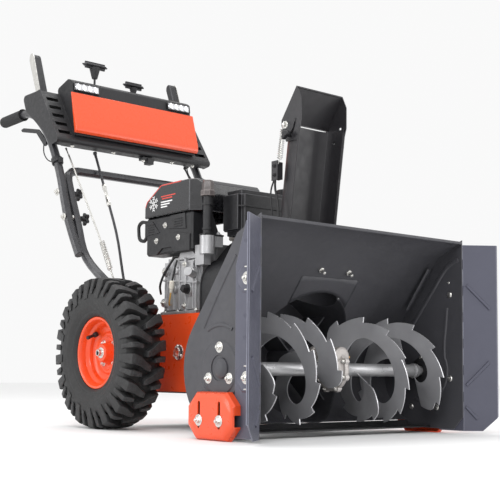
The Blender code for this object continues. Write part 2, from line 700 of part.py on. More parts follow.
def deflector():
    """Folded cap: a sloping back plate with a cheek on each side of the chute."""
    hinge_y, hinge_z = hinge_point()
    inner = CHUTE_HALF_WIDTH + GAP * 2
    wall = 0.0025
    lip = (hinge_y - DEFLECTOR_REACH, hinge_z + DEFLECTOR_RISE)
    cheek = [(hinge_y + 0.006, hinge_z - 0.010), (hinge_y + 0.006, hinge_z + 0.004),
             (lip[0] + 0.004, lip[1] + 0.004), lip, (lip[0] - 0.014, lip[1] - 0.030),
             (lip[0] - 0.014, lip[1] - 0.085), (lip[0] + 0.002, lip[1] - 0.136),
             (hinge_y - 0.012, hinge_z - 0.055)]
    cap = outline("deflector", cheek, 2 * (inner + wall), ALONG_X, colour="chute_black")
    room = [(hinge_y - 0.0005, hinge_z - 0.2), (hinge_y - 0.0005, hinge_z), (lip[0] - wall, lip[1] + 0.002),
            (lip[0] - 0.1, lip[1] + 0.002), (lip[0] - 0.1, hinge_z - 0.2)]
    inside = outline("deflector_inside", room, 2 * inner, ALONG_X)
    notch = box("deflector_notch", (-inner, hinge_y - 0.010, hinge_z - 0.2),
                (inner, hinge_y + 0.05, hinge_z - 0.001))
    bolt_angle = math.radians(235)
    slot_points = arc((0, 0), SLOT_RADIUS + 0.004, bolt_angle + 0.09, bolt_angle - DEFLECTOR_TRAVEL - 0.09, 8)
    slot_points += arc((0, 0), SLOT_RADIUS - 0.004, bolt_angle - DEFLECTOR_TRAVEL - 0.09, bolt_angle + 0.09,
                       8)
    slot = outline("deflector_slot", slot_points, 0.3, ALONG_X, (0, hinge_y, hinge_z))
    cut(cap, inside, notch, slot)
    pivot_at(cap, (0, hinge_y, hinge_z))


# ---------------------------------------------------------------- transmission and wheels
def transmission():
    half = CASE_HALF_WIDTH
    case = box("transmission_case", (-half, CASE_FRONT, CASE_BOTTOM), (half, CASE_BACK, CASE_TOP), "orange")
    inner = CASE_SHEET
    hollow = box("case_hollow", (-half + inner, CASE_FRONT + inner, CASE_BOTTOM - 0.01),
                 (half - inner, CASE_BACK - inner, CASE_TOP - inner))
    nose = box("case_nose", (-0.09, CASE_FRONT - 0.01, 0.15), (0.09, CASE_FRONT + 0.01, CASE_TOP + 0.01))
    cut(case, hollow, nose)
    belt_slot = box("belt_slot", (-0.075, CASE_FRONT - 0.01, CASE_TOP - 0.01),
                    (0.075, CASE_FRONT + 0.075, CASE_TOP + 0.01))
    axle_bore = cylinder("axle_bore", AXLE_RADIUS + RUN, 1.0, (0, WHEEL_Y, TYRE_RADIUS), sides=24)
    cut(case, belt_slot, axle_bore)
    box("transmission_floor", (-half, CASE_FRONT + 0.030, CASE_BOTTOM - GAP - CASE_SHEET),
        (half, CASE_BACK, CASE_BOTTOM - GAP), "scraper")

    disc_z = CASE_BOTTOM + 0.115
    disc = cylinder("friction_disc", FRICTION_DISC, 0.008, (0, CASE_FRONT + 0.105, disc_z), "Y", "aluminium")
    disc_shaft = cylinder("disc_shaft", 0.010, 0.060, (0, CASE_FRONT + 0.085, disc_z), "Y", sides=16)
    add(disc, disc_shaft)
    wheel_y = CASE_FRONT + 0.109 + GAP + FRICTION_WHEEL
    roller = cylinder("friction_wheel", FRICTION_WHEEL, 0.012, (0.045, wheel_y, disc_z), "X", "rubber")
    hex_shaft = cylinder("hex_shaft", 0.008, 2 * (half - inner - GAP), (0, wheel_y, disc_z), "X", sides=6)
    add(roller, hex_shaft)


def wheel(side, sign):
    centre = (sign * WHEEL_X, WHEEL_Y, TYRE_RADIUS)
    half = TYRE_WIDTH / 2
    out = TYRE_RADIUS
    bead = RIM_RADIUS + GAP
    turned(f"tyre_{side}",
           [(out - 0.016, half - 0.010), (out - 0.003, half * 0.62), (out, half * 0.30), (out, -half * 0.30),
            (out - 0.003, -half * 0.62), (out - 0.016, -half + 0.010), (out - 0.050, -half),
            (bead + 0.020, -half + 0.004), (bead, -half + 0.020), (bead, half - 0.020),
            (bead + 0.020, half - 0.004), (out - 0.050, half)],
           centre, "X", "tyre", 40)
    rim_half = half - 0.020
    wall = 0.004
    profile = [(RIM_RADIUS, rim_half), (RIM_RADIUS - 0.010, rim_half - 0.010),
               (RIM_RADIUS - 0.010, -rim_half + 0.010),
               (RIM_RADIUS, -rim_half), (RIM_RADIUS - wall, -rim_half),
               (RIM_RADIUS - 0.010 - wall, -rim_half + 0.012),
               (RIM_RADIUS - 0.010 - wall, rim_half - 0.040), (0.060, rim_half - 0.034),
               (0.052, rim_half - 0.030),
               (0.026, rim_half - 0.030), (0.022, rim_half - 0.050), (0.020, -rim_half),
               (AXLE_RADIUS + GAP, -rim_half), (AXLE_RADIUS + GAP, rim_half - 0.012),
               (0.020, rim_half - 0.012),
               (0.028, rim_half - 0.022), (0.052, rim_half - 0.022), (0.060, rim_half - 0.026),
               (RIM_RADIUS - 0.010 - wall, rim_half - 0.030), (RIM_RADIUS - 0.008 - wall, rim_half - 0.010),
               (RIM_RADIUS - wall, rim_half)]
    if sign < 0:
        profile = [(radius, -height) for radius, height in profile][::-1]
    turned(f"wheel_rim_{side}", profile, centre, "X", "orange", 28)
    outer_end = WHEEL_X + rim_half - 0.006
    inner_end = 0.006
    cylinder(f"axle_{side}", AXLE_RADIUS, outer_end - inner_end,
             (sign * (outer_end + inner_end) / 2, WHEEL_Y, TYRE_RADIUS), "X", "steel", 20)


# ---------------------------------------------------------------- engine
def engine():
    half = CRANKCASE_WIDTH / 2
    back = CRANKCASE_FRONT + CRANKCASE_LENGTH
    base = CASE_TOP + GAP
    block = box("crankcase", (-half, CRANKCASE_FRONT, base), (half, back, base + CRANKCASE_HEIGHT),
                "aluminium",
                0.012, 2)
    sump = box("sump", (SUMP_LEFT, CRANKCASE_FRONT, base), (0, back, base + SUMP_HEIGHT), None, 0.012, 2)
    nose = cylinder("crank_nose", 0.048, 0.020, (0, CRANKCASE_FRONT - 0.004, CRANK_Z), "Y", sides=28)
    filler_y = SHROUD_FRONT - 0.022
    deck = base + CRANKCASE_HEIGHT
    boss = cylinder("filler_boss", 0.021, 0.050, (FILLER_X, filler_y, deck - 0.012), "Z", sides=20)
    rib = box("sump_rib", (-half, CRANKCASE_FRONT + 0.020, base), (half + 0.012, back - 0.020, base + 0.014))
    web = box("filler_web", (FILLER_X - 0.012, filler_y, base + SUMP_HEIGHT - 0.030),
              (FILLER_X + 0.012, CRANKCASE_FRONT + 0.010, deck - 0.010))
    add(block, sump, nose, web, boss, rib)
    box("cylinder_head", (half + GAP, CRANKCASE_FRONT + 0.020, base + 0.060),
        (half + 0.085, back - 0.030, base + CRANKCASE_HEIGHT + 0.020), "aluminium", 0.010, 2)
    crank_bore = cylinder("crank_bore", 0.0125 + GAP, 0.060, (0, CRANKCASE_FRONT - 0.010, CRANK_Z), "Y",
                          sides=20)
    cut(block, crank_bore)
    crank_front = CASE_FRONT + 0.010
    crank = cylinder("crankshaft_pulley", 0.0125, CRANKCASE_FRONT + 0.018 - crank_front,
                     (0, (CRANKCASE_FRONT + 0.018 + crank_front) / 2, CRANK_Z), "Y", "steel", 20)
    add(crank, pulley("engine_pulley", 0.038, CRANK_Z))

    turned("recoil_starter_housing",
           [(RECOIL_RADIUS * 0.35, RECOIL_DEPTH), (RECOIL_RADIUS * 0.80, RECOIL_DEPTH - 0.004),
            (RECOIL_RADIUS, RECOIL_DEPTH * 0.70), (RECOIL_RADIUS, 0), (RECOIL_RADIUS - 0.004, 0),
            (RECOIL_RADIUS - 0.004, RECOIL_DEPTH * 0.66), (RECOIL_RADIUS * 0.78, RECOIL_DEPTH - 0.008),
            (0.030, RECOIL_DEPTH - 0.008), (0.030, RECOIL_DEPTH)],
           (0, back + GAP, CRANK_Z), "Y", "plastic", 40)
    flywheel = cylinder("flywheel_fan", RECOIL_RADIUS - 0.014, 0.030, (0, back + 0.025, CRANK_Z), "Y",
                        "aluminium")
    cup = cylinder("starter_cup", 0.026, 0.050, (0, back + GAP + 0.035, CRANK_Z), "Y", sides=20)
    hub = cylinder("flywheel_shaft", 0.0114, 0.030, (0, back + 2 * GAP + 0.015, CRANK_Z), "Y", sides=16)
    add(flywheel, cup, hub)

    shroud_right = SHROUD_LEFT + SHROUD_WIDTH
    shroud_back = SHROUD_FRONT + SHROUD_LENGTH
    top = SHROUD_BOTTOM + SHROUD_HEIGHT
    side_line = [(SHROUD_FRONT, SHROUD_BOTTOM), (SHROUD_FRONT, top - 0.010), (SHROUD_FRONT + 0.010, top),
                 (shroud_back - 0.080, top), (shroud_back - 0.010, top - 0.040), (shroud_back, top - 0.058),
                 (shroud_back, SHROUD_BOTTOM)]
    shroud = outline("engine_shroud", side_line, SHROUD_WIDTH, ALONG_X,
                     ((SHROUD_LEFT + shroud_right) / 2, 0, 0), "plastic")
    wall = COVER_SHEET
    inside_line = [(SHROUD_FRONT + wall, SHROUD_BOTTOM - 0.01), (SHROUD_FRONT + wall, top - 0.012),
                   (SHROUD_FRONT + 0.012, top - wall), (shroud_back - 0.082, top - wall),
                   (shroud_back - 0.013, top - 0.042), (shroud_back - wall, top - 0.060),
                   (shroud_back - wall, SHROUD_BOTTOM - 0.01)]
    inside = outline("shroud_inside", inside_line, SHROUD_WIDTH - 2 * wall, ALONG_X,
                     ((SHROUD_LEFT + shroud_right) / 2, 0, 0))
    edge = SHROUD_CORNER

    def corner(name, reach):
        return outline(name, [(SHROUD_LEFT - 0.01, SHROUD_FRONT - 0.01),
                              (SHROUD_LEFT + reach + 0.01, SHROUD_FRONT - 0.01),
                              (SHROUD_LEFT - 0.01, SHROUD_FRONT + reach + 0.01)],
                       0.4, ALONG_Z, (0, 0, SHROUD_BOTTOM))

    cut(inside, corner("shroud_inner_corner", edge + wall * math.sqrt(2)))
    cut(shroud, corner("shroud_corner", edge), inside)

    cover_top = SHROUD_BOTTOM - GAP
    cover = box("carburettor_cover", (SHROUD_LEFT + 0.004, SHROUD_FRONT + 0.020, cover_top - COVER_HEIGHT),
                (-half - 0.004, shroud_back - 0.002, cover_top), "plastic", 0.006, 1)
    tank_floor = SHROUD_BOTTOM - TANK_DROP
    tank_top = tank_floor + TANK_HEIGHT
    box("fuel_tank", (-0.092, SHROUD_FRONT - 0.100, tank_floor), (0.180, SHROUD_FRONT - 0.008, tank_top),
        "plastic", 0.014, 2)
    cap_height = 0.022
    cylinder("fuel_cap", 0.026, cap_height, (0.110, SHROUD_FRONT - 0.052, tank_top + GAP + cap_height / 2),
             "Z",
             "plastic", 24)
    tube_foot = deck + 0.013 + GAP
    tube_top = tube_foot + FILLER_LENGTH
    cylinder("oil_filler_tube", FILLER_RADIUS, FILLER_LENGTH, (FILLER_X, filler_y,
                                                               (tube_foot + tube_top) / 2), "Z",
             "plastic", 20)
    cylinder("oil_filler_cap", CAP_RADIUS, CAP_HEIGHT, (FILLER_X, filler_y, tube_top + GAP + CAP_HEIGHT / 2),
             "Z",
             "cap_grey", 20)
    rope_bore = cylinder("rope_bore", 2 * ROPE_RADIUS, 2 * ROPE_PULL + 0.010,
                         (SHROUD_LEFT + 0.012, shroud_back, SHROUD_BOTTOM - 0.030), "Y", sides=16)
    cut(cover, rope_bore)
    starter_handle(shroud_back)
    muffler_low = base + CRANKCASE_HEIGHT + 0.024
    box("muffler", (shroud_right + 0.006, CRANKCASE_FRONT + 0.030, muffler_low),
        (shroud_right + 0.120, back - 0.020, muffler_low + 0.090), "steel", 0.012, 2)


def starter_handle(shroud_back):
    """D-shaped grip of the recoil starter, parked behind the carburettor cover."""
    x = SHROUD_LEFT + 0.012
    y = shroud_back + GAP
    z = SHROUD_BOTTOM - 0.030
    loop = [(x, y + 0.0045, z - 0.022), (x, y + 0.018, z - 0.034), (x, y + 0.046, z - 0.026),
            (x, y + 0.050, z + 0.016), (x, y + 0.030, z + 0.026), (x, y + 0.0045, z + 0.020)]
    grip = tube("starter_handle", loop, 0.0055, "plastic", 3, 1)
    base = cylinder("starter_base", 0.0055, 0.050, (x, y + 0.0056, z), "Z", sides=12)
    rope = cylinder("starter_rope", ROPE_RADIUS, ROPE_PULL, (x, y + 0.0040 - ROPE_PULL / 2, z + 0.0004), "Y",
                    sides=9)
    add(grip, base, rope)
    pivot_at(grip, (x, y, z))


def belt_cover():
    """Domed cover over the engine pulley and the belt, wider on the left."""
    low = CASE_TOP + GAP
    front = CASE_FRONT
    depth = CRANKCASE_FRONT - 0.016 - front

    def section(wall, foot):
        side = 0.105 - wall
        line = [(BELT_COVER_LEFT + wall, foot)]
        line += arc((BELT_COVER_LEFT + 0.080, low + 0.068), 0.080 - wall, math.pi, 0.62 * math.pi, 6)
        line += arc((0, CRANK_Z), side, 0.72 * math.pi, 0, 10)
        return line + [(side, foot)]

    cover = outline("belt_cover", section(0, low), depth, ALONG_Y, (0, front + depth / 2, 0), "plastic")
    room = outline("belt_cover_room", section(COVER_SHEET, low - 0.01), depth, ALONG_Y,
                   (0, front + depth / 2 + COVER_SHEET, 0))
    cut(cover, room)


def belt_drive():
    big = 0.070 + 0.0012
    small = 0.038 + 0.0012
    rise = CRANK_Z - IMPELLER_Z
    tilt = math.asin((big - small) / rise)
    thick = 0.006

    def loop(extra):
        lower = arc((0, IMPELLER_Z), big + extra, math.pi - tilt, 2 * math.pi + tilt, 16)
        upper = arc((0, CRANK_Z), small + extra, tilt, math.pi - tilt, 12)
        return lower + upper

    belt = outline("drive_belt", loop(thick), 0.012, ALONG_Y, (0, BELT_Y, 0), "rubber")
    hole = outline("belt_hole", loop(0), 0.03, ALONG_Y, (0, BELT_Y, 0))
    cut(belt, hole)


# ---------------------------------------------------------------- handlebar
def lower_handle():
    x = LOWER_HANDLE_X
    foot = CASE_HALF_WIDTH + GAP + TUBE_RADIUS
    half_route = [(foot, CASE_BACK - 0.070, CASE_BOTTOM + 0.050), (foot, CASE_BACK - 0.040, CASE_TOP + 0.020),
                  (x - 0.012, CASE_BACK + 0.065, CASE_TOP + 0.122), (x, FOLD_Y - 0.047, FOLD_Z - 0.119),
                  (x, FOLD_Y - 0.005, FOLD_Z - 0.010), (x, FOLD_Y + 0.036, FOLD_Z + 0.075),
                  (x, CROSS_TUBE_Y, CROSS_TUBE_Z)]
    route = [(-px, py, pz) for px, py, pz in half_route] + half_route[::-1]
    tube("lower_handle", route, TUBE_RADIUS, "tube_grey", 3, 2)


def upper_handle(side, sign):
    x = sign * UPPER_HANDLE_X
    low_y, low_z = CONSOLE_BOTTOM_Y, CONSOLE_BOTTOM_Z
    route = [(x, FOLD_Y - 0.074, FOLD_Z - 0.122), (x, FOLD_Y + 0.003, FOLD_Z),
             (x, FOLD_Y + 0.049, FOLD_Z + 0.141),
             (x, low_y + 0.074, low_z + 0.005), (x, low_y + 0.124, low_z + 0.063),
             (x, low_y + 0.184, low_z + 0.112),
             (x, GRIP_START - 0.036, GRIP_Z), (x, GRIP_END - 0.012, GRIP_Z)]
    bar = tube(f"upper_handle_{side}", route, TUBE_RADIUS, "tube_grey", 3, 2)
    cap = 0.006
    grip = turned(f"grip_{side}",
                  [(GRIP_RADIUS, 0.004), (GRIP_RADIUS + 0.003, 0), (TUBE_RADIUS + GAP, 0),
                   (TUBE_RADIUS + GAP, GRIP_LENGTH - cap), (0.001, GRIP_LENGTH - cap), (0.001, GRIP_LENGTH),
                   (GRIP_RADIUS - 0.004, GRIP_LENGTH), (GRIP_RADIUS, GRIP_LENGTH - cap)],
                  (x, GRIP_START, GRIP_Z), "Y", "rubber", 20)
    on_handlebar(bar, grip)


def on_face(points):
    """Points (y, z) measured from the console's lower front edge."""
    return [(CONSOLE_BOTTOM_Y + y, CONSOLE_BOTTOM_Z + z) for y, z in points]


def filleted(points, radii, steps=4):
    """Round the corners of an outline; radii gives each corner's radius, 0 keeps it sharp."""
    line = []
    for index, (corner, radius) in enumerate(zip(points, radii)):
        here = Vector(corner)
        before = (Vector(points[index - 1]) - here).normalized()
        after = (Vector(points[(index + 1) % len(points)]) - here).normalized()
        if not radius:
            line.append(tuple(here))
            continue
        half = before.angle(after) / 2
        middle = here + (before + after).normalized() * radius / math.sin(half)
        start, stop = (here + way * radius / math.tan(half) - middle for way in (before, after))
        for step in range(steps + 1):
            line.append(tuple(middle + start.slerp(stop, step / steps) * radius))
    return line


def console():
    """Hollow console: two cheeks with louvres and a raised middle with the panel and the lamps."""
    low = Vector((CONSOLE_BOTTOM_Y, CONSOLE_BOTTOM_Z))
    top = Vector((CHEEK_TOP_Y, CHEEK_TOP_Z))
    rise_y, rise_z = top - low
    along = (top - low).normalized()
    wall = CONSOLE_WALL
    slab = on_face([(0, 0), (rise_y, rise_z), (rise_y + 0.119, rise_z + 0.002),
                    (rise_y + 0.095, rise_z - 0.050),
                    (0.104, 0.048), (0.046, -0.006)])
    shell = outline("console_shell", filleted(slab, (0.010, 0.016, 0.012, 0.012, 0.020, 0.008)),
                    2 * CONSOLE_HALF,
                    ALONG_X, colour="plastic")
    hollow = on_face([(0.0125, 0.0056), (rise_y - 0.001, rise_z - 0.0065), (0.300, rise_z - 0.0065),
                      (0.300, -0.050),
                      (0.050, -0.050), (0.050, 0.0032)])
    raised = on_face([(0.008, 0.026), (0.036, 0.166), (0.042, 0.208), (0.066, 0.219), (0.135, 0.200),
                      (0.125, 0.150),
                      (0.050, 0.036)])
    hump = outline("console_hump", filleted(raised, (0.004, 0.040, 0.012, 0.020, 0.010, 0, 0)),
                   2 * RAISED_HALF,
                   ALONG_X)
    add(shell, hump)
    room = outline("console_room", hollow, 2 * (CONSOLE_HALF - wall), ALONG_X)
    raised_room = on_face([(0.0135, 0.037), (0.0405, 0.164), (0.0465, 0.2035), (0.066, 0.2145),
                           (0.126, 0.197),
                           (0.214, 0.197), (0.214, 0.055), (0.056, 0.041)])
    hump_room = outline("hump_room", raised_room, 2 * (RAISED_HALF - wall), ALONG_X)
    cut(shell, room, hump_room)
    for side, sign in (("left", -1), ("right", 1)):
        middle = sign * (RAISED_HALF + CONSOLE_HALF) / 2
        for index in range(VENT_COUNT):
            rise = VENT_START + VENT_PITCH * index
            face_y = low.x + (rise + VENT_HEIGHT / 2) * along.x / along.y
            vent = box(f"vent_{side}_{index}", (middle - 0.021, face_y - 0.020, low.y + rise),
                       (middle + 0.021, face_y + 0.020, low.y + rise + VENT_HEIGHT))
            cut(shell, vent)
        tube_x = sign * UPPER_HANDLE_X
        notch = box(f"tube_notch_{side}", (tube_x - TUBE_RADIUS - RUN, low.x + 0.040, low.y - 0.040),
                    (tube_x + TUBE_RADIUS + RUN, low.x + 0.2, low.y + 0.030))
        room_half = PADDLE_WIDTH / 2 + 3 * RUN
        slot = box(f"paddle_slot_{side}", (sign * PADDLE_X - room_half, top.x + 0.006, top.y - 0.092),
                   (sign * PADDLE_X + room_half, top.x + 0.15, top.y + 0.058))
        cut(shell, notch, slot)
    for name, x, half in (("gear_slot", GEAR_X, 0.008), ("chute_slot", CHUTE_LEVER_X, 0.013)):
        slot = box(name, (x - half, low.x + 0.070, low.y + 0.17), (x + half, low.x + 0.140, low.y + 0.26))
        cut(shell, slot)

    panel_line = on_face([(0.0083, 0.034), (0.0350, 0.168), (0.0316, 0.1690), (-0.0020, 0.058),
                          (-0.0020, 0.040),
                          (0.0035, 0.034)])
    panel = outline("console_front_panel", panel_line, 2 * (RAISED_HALF + 0.008), ALONG_X, (0, -GAP, 0),
                    "panel_orange")
    lamp_line = on_face([(0.0372, 0.177), (0.0405, 0.200), (0.0356, 0.2007), (0.0322, 0.1777)])
    lamps = [outline(f"headlight_{side}", lamp_line, LAMP_WIDTH, ALONG_X, (sign * LAMP_X, -GAP, 0), "lens")
             for side, sign in (("left", -1), ("right", 1))]
    on_handlebar(shell, panel, *lamps)


def control_lever(name, x, height, bar_width, neck_length):
    """Shift lever: a stem on a cross pivot, topped by a T knob."""
    stem = cylinder(name, LEVER_RADIUS, height - LEVER_PIVOT_Z,
                    (x, LEVER_PIVOT_Y, (height + LEVER_PIVOT_Z) / 2), "Z",
                    "plastic", 12)
    neck = cylinder(f"{name}_neck", 0.009, neck_length, (x, LEVER_PIVOT_Y, height + 0.004 - neck_length / 2),
                    "Z",
                    sides=14, radius_end=0.009 + neck_length * 0.26)
    bar = box(f"{name}_bar", (x - bar_width / 2, LEVER_PIVOT_Y - 0.012, height),
              (x + bar_width / 2, LEVER_PIVOT_Y + 0.012, height + 0.022), None, 0.009, 3)
    pivot = cylinder(f"{name}_pivot", 0.008, 0.020, (x, LEVER_PIVOT_Y, LEVER_PIVOT_Z), "X", sides=12)
    add(stem, neck, bar, pivot)
    pivot_at(stem, (x, LEVER_PIVOT_Y, LEVER_PIVOT_Z))
    on_handlebar(stem)


def paddle(side, sign):
    """Clutch paddle at the end of the console, pressed down on to the grip."""
    name = {"left": "drive_clutch_lever", "right": "auger_clutch_lever"}[side]
    blade = [(-0.010, -0.008), (0.008, -0.012), (0.030, 0.048), (0.076, 0.160), (0.0755, 0.171),
             (0.070, 0.178),
             (0.0615, 0.180), (0.054, 0.174), (0.050, 0.166), (0.004, 0.050)]
    lever = outline(name, blade, PADDLE_WIDTH, ALONG_X, (sign * PADDLE_X, PADDLE_PIVOT_Y, PADDLE_PIVOT_Z),
                    "plastic")
    on_handlebar(lever)


def steering_trigger(side, sign):
    """Trigger under the grip that frees one wheel for turning."""
    line = [(-0.006, -0.010), (0.006, -0.014), (0.060, 0.0365), (0.160, 0.0585), (0.168, 0.0665),
            (0.150, 0.0700), (0.050, 0.0480), (-0.004, 0.004)]
    trigger = outline(f"steering_trigger_{side}", line, TRIGGER_WIDTH, ALONG_X,
                      (sign * UPPER_HANDLE_X, TRIGGER_PIVOT_Y, TRIGGER_PIVOT_Z), "plastic")
    on_handlebar(trigger)


def rods():
    """Shift rod and control cables, each made whole between its two ends."""
    rod_x = GEAR_X - 0.025
    cable_x = LOWER_HANDLE_X - 0.030
    cable_top = UPPER_HANDLE_X - 0.040
    case_x = CASE_HALF_WIDTH - 0.008
    end_y = CASE_BACK + 0.012
    top_y, top_z = CONSOLE_BOTTOM_Y + 0.034, CONSOLE_BOTTOM_Z - 0.030     # clear of the folding console
    tube("gear_shift_rod", [(rod_x, top_y, top_z), (rod_x, FOLD_Y - 0.070, FOLD_Z - 0.054),
                            (rod_x, FOLD_Y - 0.105, FOLD_Z - 0.185), (rod_x, end_y, CASE_TOP - 0.06)],
         ROD_RADIUS, "tube_grey", 3, 1)
    tube("drive_clutch_cable", [(-cable_top + 0.002, top_y + 0.0115, top_z),
                                (-cable_x, FOLD_Y - 0.089, FOLD_Z - 0.065),
                                (-cable_x + 0.010, FOLD_Y - 0.146, FOLD_Z - 0.183),
                                (-case_x, end_y, CASE_TOP - 0.03)],
         CABLE_RADIUS, "steel", 3, 1)
    tube("auger_clutch_cable", [(cable_x, top_y, top_z), (cable_x - 0.010, FOLD_Y - 0.054, FOLD_Z + 0.065),
                                (cable_x - 0.025, FOLD_Y - 0.114, FOLD_Z - 0.105),
                                (case_x, end_y, CASE_TOP - 0.03)],
         CABLE_RADIUS, "rubber", 3, 1)


bucket()
sides_of(wing)
sides_of(skid_shoe)
impeller(auger_line())
impeller_drum()
chute()
deflector()
transmission()
sides_of(wheel)
engine()
belt_cover()
belt_drive()
lower_handle()
sides_of(upper_handle)
console()
control_lever("gear_lever", GEAR_X, 1.144, 0.092, 0.036)
control_lever("chute_control_lever", CHUTE_LEVER_X, 1.105, 0.080, 0.018)
sides_of(paddle)
sides_of(steering_trigger)
rods()
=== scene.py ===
"""Looks of a two stage snowblower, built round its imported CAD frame.

Metres, +Z up; the bucket opens towards -Y.  Places along Y are given from the bucket's front lip
through at(), and the rest comes from the boxes of the CAD nodes.
"""

import json
import math

import bmesh
import bpy
from mathutils import Matrix, Vector


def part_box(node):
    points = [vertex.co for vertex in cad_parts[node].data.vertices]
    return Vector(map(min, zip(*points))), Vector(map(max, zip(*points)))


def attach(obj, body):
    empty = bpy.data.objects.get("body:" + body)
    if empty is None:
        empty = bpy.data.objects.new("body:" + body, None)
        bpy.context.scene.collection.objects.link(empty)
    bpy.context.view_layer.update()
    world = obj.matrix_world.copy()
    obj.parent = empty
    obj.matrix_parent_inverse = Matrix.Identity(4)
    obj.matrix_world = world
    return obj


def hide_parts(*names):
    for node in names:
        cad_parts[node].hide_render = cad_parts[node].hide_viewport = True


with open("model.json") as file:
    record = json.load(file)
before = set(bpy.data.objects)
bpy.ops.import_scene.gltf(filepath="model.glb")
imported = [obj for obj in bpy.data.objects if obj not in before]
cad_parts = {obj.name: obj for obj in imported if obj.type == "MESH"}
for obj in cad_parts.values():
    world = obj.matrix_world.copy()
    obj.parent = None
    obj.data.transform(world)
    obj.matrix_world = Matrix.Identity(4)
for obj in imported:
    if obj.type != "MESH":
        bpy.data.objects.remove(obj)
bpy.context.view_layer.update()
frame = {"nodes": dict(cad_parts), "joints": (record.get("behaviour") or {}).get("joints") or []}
scene = bpy.context.scene

LIP_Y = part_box("side_plate_left")[0].y
SIDE_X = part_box("side_plate_right")[1].x
JOINT = {joint["name"]: joint for joint in frame["joints"]}


def at(x, y, z):
    """A point whose y is measured from the bucket's front lip."""
    return Vector((x, y + LIP_Y, z))


# ---------------------------------------------------------------- camera, floor and light
CAMERA_PLACE = at(-1.8026, -1.7342, 0.1521)
CAMERA_HEADING = 0.6871
CAMERA_PITCH = 0.0727
CAMERA_ROLL = 0.0074
CAMERA_LENS = 73.7
CAMERA_SHIFT = 0.1


def camera():
    """The viewpoint, which follows the model when its origin moves."""
    data = bpy.data.cameras.new("camera")
    data.lens = CAMERA_LENS
    data.sensor_width = 36
    data.shift_y = CAMERA_SHIFT
    eye = bpy.data.objects.new("camera", data)
    scene.collection.objects.link(eye)
    look = Vector((math.sin(CAMERA_HEADING) * math.cos(CAMERA_PITCH),
                   math.cos(CAMERA_HEADING) * math.cos(CAMERA_PITCH), math.sin(CAMERA_PITCH)))
    turn = look.to_track_quat("-Z", "Y") @ Matrix.Rotation(CAMERA_ROLL, 3, "Z").to_quaternion()
    eye.rotation_mode = "QUATERNION"
    eye.rotation_quaternion = turn
    eye.location = CAMERA_PLACE
    scene.camera = eye


def lamp(name, place, aim, size, power):
    """A soft rectangular light."""
    data = bpy.data.lights.new(name, "AREA")
    data.shape = "RECTANGLE"
    data.size, data.size_y = size
    data.energy = power
    light = bpy.data.objects.new(name, data)
    scene.collection.objects.link(light)
    light.location = place
    light.rotation_euler = (Vector(aim) - Vector(place)).to_track_quat("-Z", "Y").to_euler()


def stage():
    """Pale floor, soft world light and four soft lamps."""
    scene.view_settings.view_transform = "Standard"
    world = bpy.data.worlds.new("studio")
    scene.world = world
    world.use_nodes = True
    back = world.node_tree.nodes["Background"]
    back.inputs["Color"].default_value = (1, 1, 1, 1)
    back.inputs["Strength"].default_value = 0.95
    lamp("key", (-2.6, -2.6, 2.6), (0, -0.2, 0.45), (1.6, 1.6), 52)
    lamp("fill", (2.6, -3.0, 1.2), (0, -0.3, 0.3), (1.4, 2.0), 20)
    lamp("top", (0, 0.2, 3.2), (0, 0, 0.4), (2.6, 1.2), 32)
    lamp("side", (-3.2, 1.2, 1.3), (-0.2, 0.1, 0.5), (0.9, 2.2), 26)
    bm = bmesh.new()
    bmesh.ops.create_grid(bm, x_segments=8, y_segments=8, size=12)
    mesh = bpy.data.meshes.new("floor")
    bm.to_mesh(mesh)
    bm.free()
    floor = bpy.data.objects.new("floor", mesh)
    scene.collection.objects.link(floor)
    floor.data.materials.append(surface("floor_paper", (0.90, 0.90, 0.90), 0.85, blotch=0.01))


